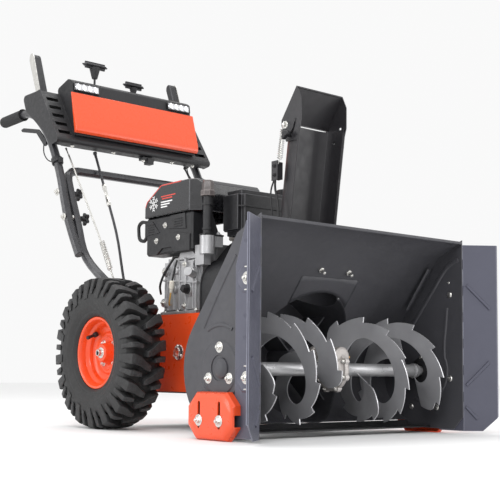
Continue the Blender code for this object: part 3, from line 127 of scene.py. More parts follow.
# ---------------------------------------------------------------- materials
def surface(name, colour, rough, metal=0.0, coat=0.0, blotch=0.10, patch=9.0, grain=0.0, grain_size=900.0,
            rough_swing=0.10, wear=None, wear_from=0.53, dust=0.0, emission=0.0):
    """A procedural finish: tone patches, uneven gloss, fine grain, worn edges and light dust."""
    material = bpy.data.materials.new(name)
    material.use_nodes = True
    tree = material.node_tree
    shader = tree.nodes["Principled BSDF"]
    shader.inputs["Metallic"].default_value = metal
    shader.inputs["Coat Weight"].default_value = coat
    shader.inputs["Coat Roughness"].default_value = 0.12

    def node(kind, **settings):
        made = tree.nodes.new(kind)
        for key, value in settings.items():
            setattr(made, key, value)
        return made

    def noise(scale, detail, distortion=0.0):
        made = node("ShaderNodeTexNoise")
        made.inputs["Scale"].default_value = scale
        made.inputs["Detail"].default_value = detail
        made.inputs["Distortion"].default_value = distortion
        tree.links.new(places.outputs["Object"], made.inputs["Vector"])
        return made.outputs["Fac"]

    def spread(value, low, high, start=0.3, stop=0.7):
        made = node("ShaderNodeMapRange")
        tree.links.new(value, made.inputs["Value"])
        made.inputs["From Min"].default_value = start
        made.inputs["From Max"].default_value = stop
        made.inputs["To Min"].default_value = low
        made.inputs["To Max"].default_value = high
        return made.outputs["Result"]

    def mix(amount, first, second):
        made = node("ShaderNodeMix", data_type="RGBA")
        tree.links.new(amount, made.inputs["Factor"])
        for value, index in ((first, 6), (second, 7)):
            if isinstance(value, tuple):
                made.inputs[index].default_value = (*value, 1)
            else:
                tree.links.new(value, made.inputs[index])
        return made.outputs[2]

    places = node("ShaderNodeTexCoord")
    darker = tuple(c * (1 - blotch) for c in colour)
    lighter = tuple(min(1.0, c * (1 + blotch)) for c in colour)
    tone = mix(spread(noise(patch, 5.0), 0, 1), darker, lighter)
    scuffs = noise(patch * 7, 8.0, 0.6)
    if dust:
        tone = mix(spread(scuffs, 0, dust, 0.5, 0.8), tone, (0.42, 0.40, 0.38))
    if wear:
        geometry = node("ShaderNodeNewGeometry")
        edges = spread(geometry.outputs["Pointiness"], 0, 1, wear_from, wear_from + 0.07)
        broken = spread(noise(160, 4.0), 0.25, 1.0, 0.4, 0.6)
        both = node("ShaderNodeMath", operation="MULTIPLY")
        tree.links.new(edges, both.inputs[0])
        tree.links.new(broken, both.inputs[1])
        tone = mix(both.outputs[0], tone, wear)
    tree.links.new(tone, shader.inputs["Base Color"])
    uneven = spread(scuffs, max(0.02, rough - rough_swing), min(1.0, rough + rough_swing))
    tree.links.new(uneven, shader.inputs["Roughness"])
    if grain:
        bump = node("ShaderNodeBump")
        bump.inputs["Strength"].default_value = grain
        bump.inputs["Distance"].default_value = 0.0006
        tree.links.new(noise(grain_size, 3.0), bump.inputs["Height"])
        tree.links.new(bump.outputs["Normal"], shader.inputs["Normal"])
    if emission:
        shader.inputs["Emission Color"].default_value = (1, 1, 1, 1)
        shader.inputs["Emission Strength"].default_value = emission
    return material


stage()
camera()

# Each lighter copy that follows a finish below is a painted highlight, laid on that finish's bevelled edges.
GRAPHITE = surface("graphite_coat", (0.058, 0.058, 0.066), 0.50, 0.15, 0.05, 0.10, 6, 0.25, 1200)
GRAPHITE_HIGHLIGHT = surface("graphite_painted_highlight", (0.150, 0.150, 0.165), 0.42, 0.35, 0.05, 0.20, 30, 0.25, 900)
WING = surface("wing_coat", (0.088, 0.090, 0.122), 0.46, 0.20, 0.05, 0.07, 5, 0.25, 1200)
WING_HIGHLIGHT = surface("wing_painted_highlight", (0.230, 0.235, 0.290), 0.40, 0.35, 0.05, 0.18, 30, 0.25, 900)
ORANGE = surface("orange_coat", (0.80, 0.075, 0.012), 0.34, 0.0, 0.30, 0.07, 8, 0.15, 900)
ORANGE_HIGHLIGHT = surface("orange_painted_highlight", (0.95, 0.190, 0.070), 0.30, 0.0, 0.30, 0.10, 40, 0.15, 900)
PANEL = surface("panel_orange", (0.80, 0.082, 0.020), 0.28, 0.0, 0.40, 0.03, 5, 0.05, 900, 0.04)
AUGER = surface("auger_coat", (0.300, 0.300, 0.315), 0.40, 0.15, 0.0, 0.12, 14, 0.3, 700, dust=0.06)
BARE_EDGE = surface("cut_steel_edge", (0.66, 0.66, 0.68), 0.30, 0.8, 0.0, 0.10, 40, 0.3, 500)
SHAFT = surface("shaft_grey", (0.52, 0.52, 0.53), 0.36, 0.65, 0.0, 0.08, 20, 0.2, 500)
CAST = surface("cast_alloy", (0.50, 0.470, 0.450), 0.50, 0.55, 0.0, 0.12, 22, 0.8, 420,
               wear=(0.72, 0.70, 0.68), dust=0.08)
ENGINE = surface("engine_alloy", (0.46, 0.46, 0.47), 0.42, 0.70, 0.0, 0.12, 18, 0.8, 380, dust=0.10)
ENGINE_HIGHLIGHT = surface("engine_alloy_painted_highlight", (0.72, 0.72, 0.72), 0.36, 0.75, 0.0, 0.12, 40, 0.6, 380)
ZINC = surface("zinc", (0.68, 0.67, 0.64), 0.26, 0.95, 0.0, 0.12, 60, 0.2, 300)
BRASS = surface("brass", (0.72, 0.42, 0.16), 0.30, 0.9, 0.0, 0.10, 60)
CHUTE = surface("chute_coat", (0.024, 0.023, 0.026), 0.44, 0.10, 0.10, 0.12, 6, 0.2, 1200)
CHUTE_HIGHLIGHT = surface("chute_painted_highlight", (0.075, 0.074, 0.080), 0.38, 0.20, 0.10, 0.20, 30, 0.2, 900)
TUBES = surface("tube_coat", (0.036, 0.036, 0.040), 0.34, 0.25, 0.20, 0.08, 9, 0.15, 900)
PLASTIC = surface("moulded_black", (0.013, 0.013, 0.015), 0.48, 0.0, 0.0, 0.12, 12, 0.7, 1500)
PLASTIC_HIGHLIGHT = surface("moulded_painted_highlight", (0.050, 0.050, 0.055), 0.38, 0.0, 0.05, 0.12, 30, 0.4, 1500)
GLOSS = surface("gloss_black", (0.011, 0.011, 0.013), 0.24, 0.0, 0.35, 0.10, 8, 0.05, 900, 0.06)
GLOSS_HIGHLIGHT = surface("gloss_painted_highlight", (0.045, 0.045, 0.050), 0.22, 0.0, 0.35, 0.10, 30, 0.05, 900, 0.06)
CAP = surface("cap_grey", (0.085, 0.070, 0.068), 0.36, 0.0, 0.15, 0.10, 20, 0.2, 900)
CAP_HIGHLIGHT = surface("cap_painted_highlight", (0.180, 0.155, 0.150), 0.32, 0.0, 0.15, 0.10, 30, 0.2, 900)
GRIP = surface("grip_rubber", (0.014, 0.014, 0.015), 0.60, 0.0, 0.0, 0.15, 30, 0.9, 900)
TYRE = surface("tyre_rubber", (0.0125, 0.0125, 0.013), 0.56, 0.0, 0.0, 0.20, 16, 0.8, 700, 0.10,
               wear=(0.045, 0.045, 0.047), dust=0.02)
LENS = surface("lamp_lens", (0.82, 0.83, 0.86), 0.10, 0.0, 0.6, 0.08, 80, 0.0, 900, 0.04, emission=0.15)
CELL = surface("lamp_reflector", (0.80, 0.80, 0.82), 0.12, 1.0, 0.0, 0.10, 90)
TRIM = surface("orange_paint", (0.62, 0.045, 0.028), 0.32, 0.0, 0.3, 0.06, 20)
MARK = surface("white_mark", (0.82, 0.82, 0.82), 0.42, 0.0, 0.0, 0.04, 40)
CREAM = surface("rubber", (0.72, 0.68, 0.60), 0.42, 0.0, 0.0, 0.06, 40)
YELLOW = surface("rubber", (0.70, 0.42, 0.10), 0.50, 0.0, 0.0, 0.06, 40)
HEATED = surface("muffler_steel", (0.30, 0.28, 0.26), 0.42, 0.9, 0.0, 0.25, 12, 0.4, 500, dust=0.12)
SCRAPER = surface("scraper_coat", (0.026, 0.026, 0.028), 0.48, 0.3, 0.0, 0.12, 12, 0.4, 900)
# Each finish paired with its lighter copy, the painted highlight for its bevelled edges.
EDGE_HIGHLIGHTS = {GRAPHITE: GRAPHITE_HIGHLIGHT, WING: WING_HIGHLIGHT, ORANGE: ORANGE_HIGHLIGHT, CHUTE: CHUTE_HIGHLIGHT, PLASTIC: PLASTIC_HIGHLIGHT,
        GLOSS: GLOSS_HIGHLIGHT,
        CAP: CAP_HIGHLIGHT, ENGINE: ENGINE_HIGHLIGHT}


# ---------------------------------------------------------------- mesh helpers
def piece(name, bm, material, body, bevel=0.0, segments=2, extra=(), level=0):
    """Finish a built mesh as a piece of the object that rides on a body."""
    bmesh.ops.recalc_face_normals(bm, faces=bm.faces)
    mesh = bpy.data.meshes.new(name)
    bm.to_mesh(mesh)
    bm.free()
    for item in (material, *extra):
        mesh.materials.append(item)
    mesh.shade_smooth()
    thing = bpy.data.objects.new(name, mesh)
    scene.collection.objects.link(thing)
    if bevel:
        edge = thing.modifiers.new("edge", "BEVEL")
        edge.width = bevel
        edge.segments = segments
        edge.limit_method = "ANGLE"
        edge.angle_limit = math.radians(32)
    if level:
        soft = thing.modifiers.new("soft", "SUBSURF")
        soft.levels = level
        soft.render_levels = level
    if bevel:
        even = thing.modifiers.new("even", "WEIGHTED_NORMAL")
        even.keep_sharp = False
    else:
        mesh.set_sharp_from_angle(angle=math.radians(38))
    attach(thing, body)
    return thing


def polish(node, material, bevel=0.0015, segments=2):
    """Round a CAD node's edges and give it its finish, with a lighter painted highlight on those edges."""
    # rim is the finish's lighter copy, a painted highlight for the bevelled edges
    rim = EDGE_HIGHLIGHTS.get(material)
    thing = frame["nodes"][node]
    mesh = thing.data
    normals = mesh.attributes.get("custom_normal")
    if normals:
        mesh.attributes.remove(normals)
    mesh.materials.clear()
    mesh.materials.append(material)
    if rim:
        mesh.materials.append(rim)
    mesh.shade_smooth()
    weld = thing.modifiers.new("weld", "WELD")
    weld.merge_threshold = 0.00002
    flat = thing.modifiers.new("flat", "DECIMATE")
    flat.decimate_type = "DISSOLVE"
    flat.angle_limit = math.radians(0.6)
    edge = thing.modifiers.new("edge", "BEVEL")
    edge.width = bevel
    edge.segments = segments
    edge.limit_method = "ANGLE"
    edge.angle_limit = math.radians(32)
    # the bevelled edges take the lighter copy as a painted highlight
    edge.material = 1 if rim else -1
    even = thing.modifiers.new("even", "WEIGHTED_NORMAL")
    even.keep_sharp = False
    return thing


def aimed(place, axis):
    """The matrix that puts local +Z along an axis at a place."""
    return Matrix.Translation(place) @ Vector(axis).to_track_quat("Z", "Y").to_matrix().to_4x4()


def lathe(bm, profile, place, axis, steps=48, closed=True, phase=0.0):
    """Turn a profile of (height, radius) about an axis; a radius of 0 closes on a pole."""
    frame_of = aimed(place, axis)
    rings = []
    for height, radius in profile:
        if radius < 1e-6:
            rings.append([bm.verts.new(frame_of @ Vector((0, 0, height)))])
            continue
        rings.append([bm.verts.new(frame_of @ Vector((radius * math.cos(phase + 2 * math.pi * i / steps),
                                                      radius * math.sin(phase + 2 * math.pi * i / steps),
                                                      height)))
                      for i in range(steps)])
    pairs = list(zip(rings, rings[1:]))
    if closed:
        pairs.append((rings[-1], rings[0]))
    for first, second in pairs:
        for i in range(steps):
            j = (i + 1) % steps
            corners = [first[i % len(first)], first[j % len(first)], second[j % len(second)],
                       second[i % len(second)]]
            corners = list(dict.fromkeys(corners))
            if len(corners) > 2:
                bm.faces.new(corners)


def solid(bm, profile, place, axis, steps=48, phase=0.0):
    """A turned solid whose profile runs from pole to pole."""
    full = [(profile[0][0], 0.0), *profile, (profile[-1][0], 0.0)]
    lathe(bm, full, place, axis, steps, closed=False, phase=phase)


def block(bm, low, high, turn=None, about=(0, 0, 0)):
    """A box between two corners, turned about a point if asked."""
    low, high = Vector(low), Vector(high)
    made = bmesh.ops.create_cube(bm, size=1)["verts"]
    bmesh.ops.scale(bm, vec=high - low, verts=made)
    bmesh.ops.translate(bm, vec=(low + high) / 2, verts=made)
    if turn:
        bmesh.ops.rotate(bm, cent=about, matrix=turn.to_3x3(), verts=made)
    return made


def prism(bm, points, low, high, axis="X"):
    """Extrude an outline of (u, v) between two heights along an axis."""
    def place(u, v, w):
        return {"X": Vector((w, u, v)), "Y": Vector((u, w, v)), "Z": Vector((u, v, w))}[axis]
    bottom = [bm.verts.new(place(u, v, low)) for u, v in points]
    top = [bm.verts.new(place(u, v, high)) for u, v in points]
    bm.faces.new(bottom)
    bm.faces.new(top[::-1])
    for a in range(len(points)):
        b = (a + 1) % len(points)
        bm.faces.new((bottom[a], top[a], top[b], bottom[b]))


def smooth_path(points, steps=6):
    """A smooth curve through chosen points."""
    points = [Vector(p) for p in points]
    padded = [2 * points[0] - points[1], *points, 2 * points[-1] - points[-2]]
    path = []
    for a, b, c, d in zip(padded, padded[1:], padded[2:], padded[3:]):
        for step in range(steps):
            t = step / steps
            path.append(0.5 * (2 * b + (c - a) * t + (2 * a - 5 * b + 4 * c - d) * t * t
                               + (3 * b - a - 3 * c + d) * t ** 3))
    return [*path, points[-1]]


def sweep(bm, path, section, up=None):
    """Carry a section of (side, rise) offsets along a path, capped at both ends."""
    path = [Vector(p) for p in path]
    tangents = [(after - before).normalized() for before, after in zip([path[0], *path[:-1]],
                                                                       [*path[1:], path[-1]])]
    rise = Vector(up) if up else tangents[0].orthogonal()
    rings = []
    for place, tangent in zip(path, tangents):
        side = tangent.cross(rise).normalized()
        rise_here = side.cross(tangent).normalized()
        if not up:
            rise = rise_here
        rings.append([bm.verts.new(place + side * a + rise_here * b) for a, b in section])
    for first, second in zip(rings, rings[1:]):
        for a in range(len(section)):
            b = (a + 1) % len(section)
            bm.faces.new((first[a], first[b], second[b], second[a]))
    bm.faces.new(rings[0][::-1])
    bm.faces.new(rings[-1])


def circle(radius, sides=10):
    """Points of a round section."""
    return [(radius * math.cos(2 * math.pi * i / sides), radius * math.sin(2 * math.pi * i / sides))
            for i in range(sides)]


def arc(centre, radius, start, stop, steps):
    """Points (u, v) on an arc, angles in degrees."""
    return [(centre[0] + radius * math.cos(math.radians(start + (stop - start) * i / steps)),
             centre[1] + radius * math.sin(math.radians(start + (stop - start) * i / steps)))
            for i in range(steps + 1)]


def wire(bm, points, radius, steps=6, sides=10):
    """A round wire or hose through a few points."""
    sweep(bm, smooth_path(points, steps), circle(radius, sides))


def bead(bm, path, width, height, up):
    """A pressed rib with sloping sides."""
    half = width / 2
    sweep(bm, path, [(-half, -0.0006), (-half * 0.55, height * 0.85), (0, height),
                     (half * 0.55, height * 0.85),
                     (half, -0.0006)], up)


def coil(start, stop, radius, turns, per_turn=12):
    """Points along a spring between two places."""
    start, stop = Vector(start), Vector(stop)
    frame_of = aimed(start, stop - start)
    length = (stop - start).length
    count = turns * per_turn
    return [frame_of @ Vector((radius * math.cos(2 * math.pi * i / per_turn),
                               radius * math.sin(2 * math.pi * i / per_turn), length * i / count))
            for i in range(count + 1)]


def hex_bolt(bm, place, axis, size=0.0065, washer=True):
    """A flanged hexagon head with a chamfered top, standing on a washer."""
    if washer:
        solid(bm, [(-0.0004, size * 1.75), (0.0012, size * 1.75), (0.0016, size * 1.60)], place, axis, 24)
    solid(bm, [(0.0010, size * 1.30), (0.0026, size * 1.22)], place, axis, 24)
    solid(bm, [(0.0022, size), (0.0022 + size * 0.62, size), (0.0022 + size * 0.82, size * 0.80)], place,
          axis, 6)
    solid(bm, [(0.002, size * 0.50), (0.0022 + size * 1.15, size * 0.50),
               (0.0022 + size * 1.30, size * 0.36)],
          place, axis, 14)


def dome_bolt(bm, place, axis, size=0.008):
    """A carriage bolt's round head."""
    solid(bm, [(-0.0003, size), (size * 0.10, size * 0.97), (size * 0.28, size * 0.75),
               (size * 0.38, size * 0.40)],
          place, axis, 20)


def star_knob(bm, place, axis, size=0.020, lobes=5):
    """A moulded hand knob with rounded lobes and a boss."""
    frame_of = aimed(place, axis)
    rings = []
    for height, scale in ((0.000, 0.40), (0.010, 0.42), (0.011, 0.86), (0.013, 1.0), (0.019, 1.0),
                          (0.022, 0.84)):
        ring = []
        for i in range(lobes * 8):
            angle = 2 * math.pi * i / (lobes * 8)
            wave = 1.0 if scale < 0.5 else 0.80 + 0.20 * math.cos(lobes * angle)
            ring.append(bm.verts.new(frame_of @ Vector((size * scale * wave * math.cos(angle),
                                                        size * scale * wave * math.sin(angle), height))))
        rings.append(ring)
    for first, second in zip(rings, rings[1:]):
        for i in range(len(first)):
            j = (i + 1) % len(first)
            bm.faces.new((first[i], first[j], second[j], second[i]))
    bm.faces.new(rings[0][::-1])
    bm.faces.new(rings[-1])


# ---------------------------------------------------------------- wheels
LUG_COUNT = 17
LUG_DEPTH = 0.022


def tyre(side, sign):
    """Lugged tyre, built as one carcass with large and small lugs."""
    low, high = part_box(f"tyre_{side}")
    centre = (low + high) / 2
    half = (high.x - low.x) / 2
    radius = (high.z - low.z) / 2
    crown = radius - LUG_DEPTH
    rim = (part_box(f"wheel_rim_{side}")[1].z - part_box(f"wheel_rim_{side}")[0].z) / 2
    bm = bmesh.new()
    outside = [(half - 0.021, rim + 0.0004), (half - 0.014, rim + 0.006), (half - 0.011, rim + 0.011),
               (half - 0.0125, rim + 0.015), (half - 0.006, rim + 0.026), (half - 0.0035, rim + 0.034),
               (half - 0.0045, rim + 0.036), (half - 0.0022, rim + 0.046), (half - 0.0035, rim + 0.060),
               (half - 0.008, crown - 0.012), (half - 0.022, crown - 0.002), (half * 0.45, crown)]
    profile = outside + [(-x, r) for x, r in outside[::-1]]
    lathe(bm, profile, centre, (1, 0, 0), 96)
    spin = Matrix.Translation(centre)

    def lug(facing, angle, line, tops):
        """A tread block: stations (across, along, half width) with the height of each top."""
        rings = []
        for (across, along, wide), top in zip(line, tops):
            base = crown - 0.004 if top > crown + 0.002 else top - 0.012
            ring = []
            for offset, height in ((-wide, base), (-wide * 0.84, top), (wide * 0.84, top), (wide, base)):
                turn = angle + (along + offset) / radius
                ring.append(bm.verts.new(spin @ Vector((facing * across, height * math.cos(turn),
                                                        height * math.sin(turn)))))
            rings.append(ring)
        for first, second in zip(rings, rings[1:]):
            for a in range(4):
                b = (a + 1) % 4
                bm.faces.new((first[a], first[b], second[b], second[a]))
        bm.faces.new(rings[0])
        bm.faces.new(rings[-1][::-1])

    for facing in (-1, 1):
        shift = 0.25 if facing > 0 else -0.25
        for index in range(LUG_COUNT):
            angle = 2 * math.pi * (index + shift) / LUG_COUNT
            lug(facing, angle,
                [(-0.007, 0.026, 0.009), (0.009, 0.019, 0.0125), (0.028, 0.006, 0.0150),
                 (half * 0.72, 0.000, 0.0165),
                 (half - 0.009, 0.000, 0.0165), (half - 0.0008, 0.000, 0.014)],
                [radius - 0.001, radius, radius, radius - 0.0015, radius - 0.005, radius - 0.046])
            lug(facing, angle + math.pi / LUG_COUNT,
                [(0.019, 0.004, 0.0065), (half * 0.65, 0.000, 0.0090), (half - 0.010, 0.000, 0.0090),
                 (half - 0.0012, 0.000, 0.0078)],
                [radius - 0.0015, radius - 0.002, radius - 0.006, radius - 0.036])
    for index in range(72):
        angle = 2 * math.pi * index / 72
        turn = Matrix.Rotation(angle, 4, "X")
        for facing in (-1, 1):
            made = block(bm, (half - 0.007, -0.0011, crown - 0.046), (half - 0.0026, 0.0011, crown - 0.036))
            if facing < 0:
                bmesh.ops.scale(bm, vec=(-1, 1, 1), verts=made)
            bmesh.ops.transform(bm, matrix=spin @ turn, verts=made)
    made = piece(f"tyre_lugged_{side}", bm, TYRE, f"wheel_{side}", 0.0012, 1)
    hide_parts(f"tyre_{side}")


def rim(side, sign):
    """Dished wheel disc, its tyre valve and its hub bolts."""
    low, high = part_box(f"wheel_rim_{side}")
    centre = (low + high) / 2
    half = (high.x - low.x) / 2
    radius = (high.z - low.z) / 2
    axle = (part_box(f"axle_{side}")[1].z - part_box(f"axle_{side}")[0].z) / 2
    bm = bmesh.new()
    profile = [(half - 0.001, radius - 0.001), (half, radius - 0.004), (half - 0.002, radius - 0.008),
               (half - 0.010, radius - 0.0115), (half - 0.020, radius - 0.0135),
               (half - 0.026, radius - 0.020),
               (half - 0.029, radius - 0.0225), (half - 0.038, radius - 0.024),
               (half - 0.042, radius - 0.030),
               (half - 0.043, radius - 0.040), (half - 0.039, radius - 0.045), (half - 0.039, radius - 0.050),
               (half - 0.044, radius - 0.057), (half - 0.044, radius - 0.066), (half - 0.040, radius - 0.070),
               (half - 0.020, radius - 0.0755), (half - 0.018, radius - 0.077), (half - 0.018, axle + 0.0006),
               (-half, axle + 0.0006), (-half, axle + 0.009), (half - 0.060, axle + 0.012),
               (half - 0.050, 0.040),
               (half - 0.049, radius - 0.018), (-half + 0.012, radius - 0.014), (-half + 0.0, radius - 0.006),
               (-half, radius - 0.001), (-half + 0.004, radius), (-half + 0.010, radius - 0.006),
               (half - 0.012, radius - 0.006), (half - 0.004, radius)]
    lathe(bm, profile, centre, (sign, 0, 0), 96)
    made = piece(f"wheel_rim_dished_{side}", bm, ORANGE, f"wheel_{side}", 0.0008, 2)
    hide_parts(f"wheel_rim_{side}")
    bm = bmesh.new()
    face = centre + Vector((sign * (half - 0.039), 0, 0))
    for index in range(4):
        angle = math.pi / 4 + math.pi / 2 * index
        spot = face + Vector((0, 0.040 * math.cos(angle), 0.040 * math.sin(angle)))
        hex_bolt(bm, spot - Vector((sign * 0.005, 0, 0)), (sign, 0, 0), 0.0055)
    hub = centre + Vector((sign * (half - 0.018), 0, 0))
    solid(bm, [(-0.010, 0.0155), (0.0012, 0.0155), (0.0020, 0.0140)], hub, (sign, 0, 0), 32)
    solid(bm, [(0.001, 0.0095), (0.0105, 0.0095), (0.0120, 0.0080)], hub, (sign, 0, 0), 6)
    piece(f"hub_bolts_{side}", bm, ZINC, f"wheel_{side}", 0.0004, 1)
    bm = bmesh.new()
    root = centre + Vector((sign * (half - 0.030), 0.050, 0.052))
    tip = Vector((sign * 0.9, -0.25, -0.3))
    solid(bm, [(-0.004, 0.0075), (0.006, 0.0070), (0.009, 0.0045), (0.024, 0.0040), (0.025, 0.0052),
               (0.034, 0.0052),
               (0.035, 0.0044)], root, tip, 20)
    piece(f"tyre_valve_{side}", bm, GRIP, f"wheel_{side}", 0.0004, 1)


for side, sign in (("left", -1), ("right", 1)):
    tyre(side, sign)
    rim(side, sign)
    polish(f"axle_{side}", ZINC, 0.001)

# ---------------------------------------------------------------- auger
FLIGHT_TEETH = 12
FLIGHT_TURN = math.radians(400)
FLIGHT_SHEET = 0.0038


def auger_side(side, sign):
    """Serrated ribbons and sleeve of one half of the auger."""
    low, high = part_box(f"auger_{side}")
    place = Vector(JOINT["auger_spin"]["pos_m"])
    radius = (high.z - low.z) / 2
    radius = max(radius, high.z - place.z)
    near = min(abs(low.x), abs(high.x))
    far = max(abs(low.x), abs(high.x))
    sleeve = 0.0165
    bm = bmesh.new()
    middle = Vector((sign * (near + far) / 2, place.y, place.z))
    long = (far - near) / 2
    lathe(bm, [(-long, 0.0131), (-long, sleeve), (long, sleeve), (long, 0.0131)], middle, (1, 0, 0), 40)
    for ring_x in (near + 0.010, far - 0.012):
        lathe(bm, [(-0.006, sleeve - 0.001), (-0.006, sleeve + 0.003), (0.006, sleeve + 0.003),
                   (0.006, sleeve - 0.001)],
              Vector((sign * ring_x, place.y, place.z)), (1, 0, 0), 32)
    made = piece(f"auger_sleeve_{side}", bm, SHAFT, "auger", 0.0006, 2)
    per_tooth = 6
    for index in range(2):
        begin = sign * (near + 0.012 + 0.028 * index)
        finish_x = sign * (far - 0.040 + 0.028 * index)
        bm = bmesh.new()
        rings = []
        count = FLIGHT_TEETH * per_tooth
        for tooth in range(FLIGHT_TEETH):
            for step in range(per_tooth + 1):
                t = (tooth + step / per_tooth) / FLIGHT_TEETH
                t = t - 0.0004 if step == per_tooth and tooth < FLIGHT_TEETH - 1 else t
                ease = min(1.0, t / 0.20, (1 - t) / 0.20)
                inner = sleeve - 0.002 + (radius - 0.050 - sleeve) * math.sin(ease * math.pi / 2) ** 1.6
                outer = radius - 0.0005 - 0.015 * (1 - step / per_tooth) ** 0.9
                outer -= 0.040 * (1 - min(1.0, t / 0.05, (1 - t) / 0.05))
                angle = math.pi * index + 0.6 + sign * FLIGHT_TURN * t
                x = begin + (finish_x - begin) * t
                ring = []
                for distance, shift in ((inner, -1), (outer, -1), (outer, 1), (inner, 1)):
                    ring.append(bm.verts.new((x + shift * FLIGHT_SHEET / 2,
                                              place.y + distance * math.cos(angle),
                                              place.z + distance * math.sin(angle))))
                rings.append(ring)
        for first, second in zip(rings, rings[1:]):
            for a in range(4):
                b = (a + 1) % 4
                face = bm.faces.new((first[a], first[b], second[b], second[a]))
                face.material_index = 1 if a == 1 else 0
        for end in (rings[0], rings[-1][::-1]):
            bm.faces.new(end).material_index = 1
        piece(f"auger_flight_{side}_{index}", bm, AUGER, "auger", 0.0005, 1,
              extra=(BARE_EDGE,))
    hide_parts(f"auger_{side}")
    bm = bmesh.new()
    for ring_x in (near + 0.010,):
        hex_bolt(bm, Vector((sign * ring_x, place.y, place.z + sleeve + 0.002)), (0, 0, 1), 0.0050, False)
        hex_bolt(bm, Vector((sign * ring_x, place.y, place.z - sleeve - 0.002)), (0, 0, -1), 0.0050, False)
    piece(f"shear_bolt_{side}", bm, ZINC, "auger", 0.0003, 1)


def gearbox():
    """Ribbed casting of the auger gearbox with its bolts and grease nipple."""
    place = Vector(JOINT["auger_spin"]["pos_m"])
    low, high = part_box("auger_gearbox")
    half = (high.x - low.x) / 2
    worm = Vector((0, place.y, JOINT["impeller_spin"]["pos_m"][2]))
    shell = 0.047
    bm = bmesh.new()
    lathe(bm, [(-half, 0.0130), (-half, 0.022), (-half + 0.010, 0.0225), (-half + 0.013, 0.027),
               (-0.022, 0.034),
               (-0.019, 0.042), (-0.014, 0.046), (-0.0065, shell), (-0.0060, shell + 0.007),
               (0.0060, shell + 0.007),
               (0.0065, shell), (0.014, 0.046), (0.019, 0.042), (0.022, 0.034), (half - 0.013, 0.027),
               (half - 0.010, 0.0225), (half, 0.022), (half, 0.0130)], place, (1, 0, 0), 72)
    solid(bm, [(-0.040, 0.020), (-0.036, 0.0257), (0.050, 0.0257), (0.052, 0.029), (0.066, 0.029),
               (0.069, 0.026)],
          worm, (0, 1, 0), 40)
    for index in range(8):
        angle = math.radians(22 + 45 * index)
        spot = place + Vector((0, (shell + 0.005) * math.cos(angle), (shell + 0.005) * math.sin(angle)))
        if abs(angle - math.pi / 2) < 0.1 or spot.y > place.y + 0.045:
            continue
        solid(bm, [(-0.0062, 0.0085), (0.0062, 0.0085)], spot, (1, 0, 0), 24)
    for angle in (0.9, 1.6, 2.5, 3.6, 4.6, 5.4):
        rib = [place + Vector((x, r * math.cos(angle), r * math.sin(angle)))
               for x, r in ((-0.030, 0.023), (-0.022, 0.036), (-0.008, 0.046))]
        for mirror in (1, -1):
            sweep(bm, [Vector((p.x * mirror, p.y, p.z)) for p in rib],
                  [(-0.002, -0.004), (-0.0012, 0.003), (0.0012, 0.003),
                                                                       (0.002, -0.004)],
                  (0, math.cos(angle), math.sin(angle)))
    made = piece("gearbox_casting", bm, CAST, "root", 0.0010, 2)
    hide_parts("auger_gearbox")
    bm = bmesh.new()
    for index in range(8):
        angle = math.radians(22 + 45 * index)
        spot = place + Vector((0, (shell + 0.005) * math.cos(angle), (shell + 0.005) * math.sin(angle)))
        if spot.y > place.y + 0.045:
            continue
        hex_bolt(bm, spot + Vector((0.0062, 0, 0)), (1, 0, 0), 0.0046, False)
        hex_bolt(bm, spot - Vector((0.0062, 0, 0)), (-1, 0, 0), 0.0046, False)
    piece("gearbox_bolts", bm, ZINC, "root", 0.0003, 1)
    bm = bmesh.new()
    nipple = place + Vector((0.020, -0.030, 0.026))
    solid(bm, [(-0.004, 0.0045), (0.005, 0.0045), (0.006, 0.003), (0.010, 0.0032), (0.012, 0.0018)], nipple,
          (0.5, -0.6, 0.6), 6)
    piece("grease_nipple", bm, BRASS, "root", 0.0002, 1)


auger_side("left", -1)
auger_side("right", 1)
gearbox()
polish("auger_shaft", SHAFT, 0.0015)
polish("impeller", GRAPHITE, 0.0008)
polish("impeller_shaft", ZINC, 0.0008)

# ---------------------------------------------------------------- bucket
KNEE_Y, KNEE_Z = 0.080, 0.471          # bend under the lip
BACK_SLOPE = 0.791                     # of the straight back sheet, along Y for each metre down
DRUM_Z, DRUM_RADIUS = 0.197, 0.166
BEARING_BOLTS = ((0.144, 0.215), (0.185, 0.143), (0.107, 0.143))


def plane_path(points, x):
    """Points (y from the lip, z) laid on a side plate's face."""
    return [at(x, y, z) for y, z in points]


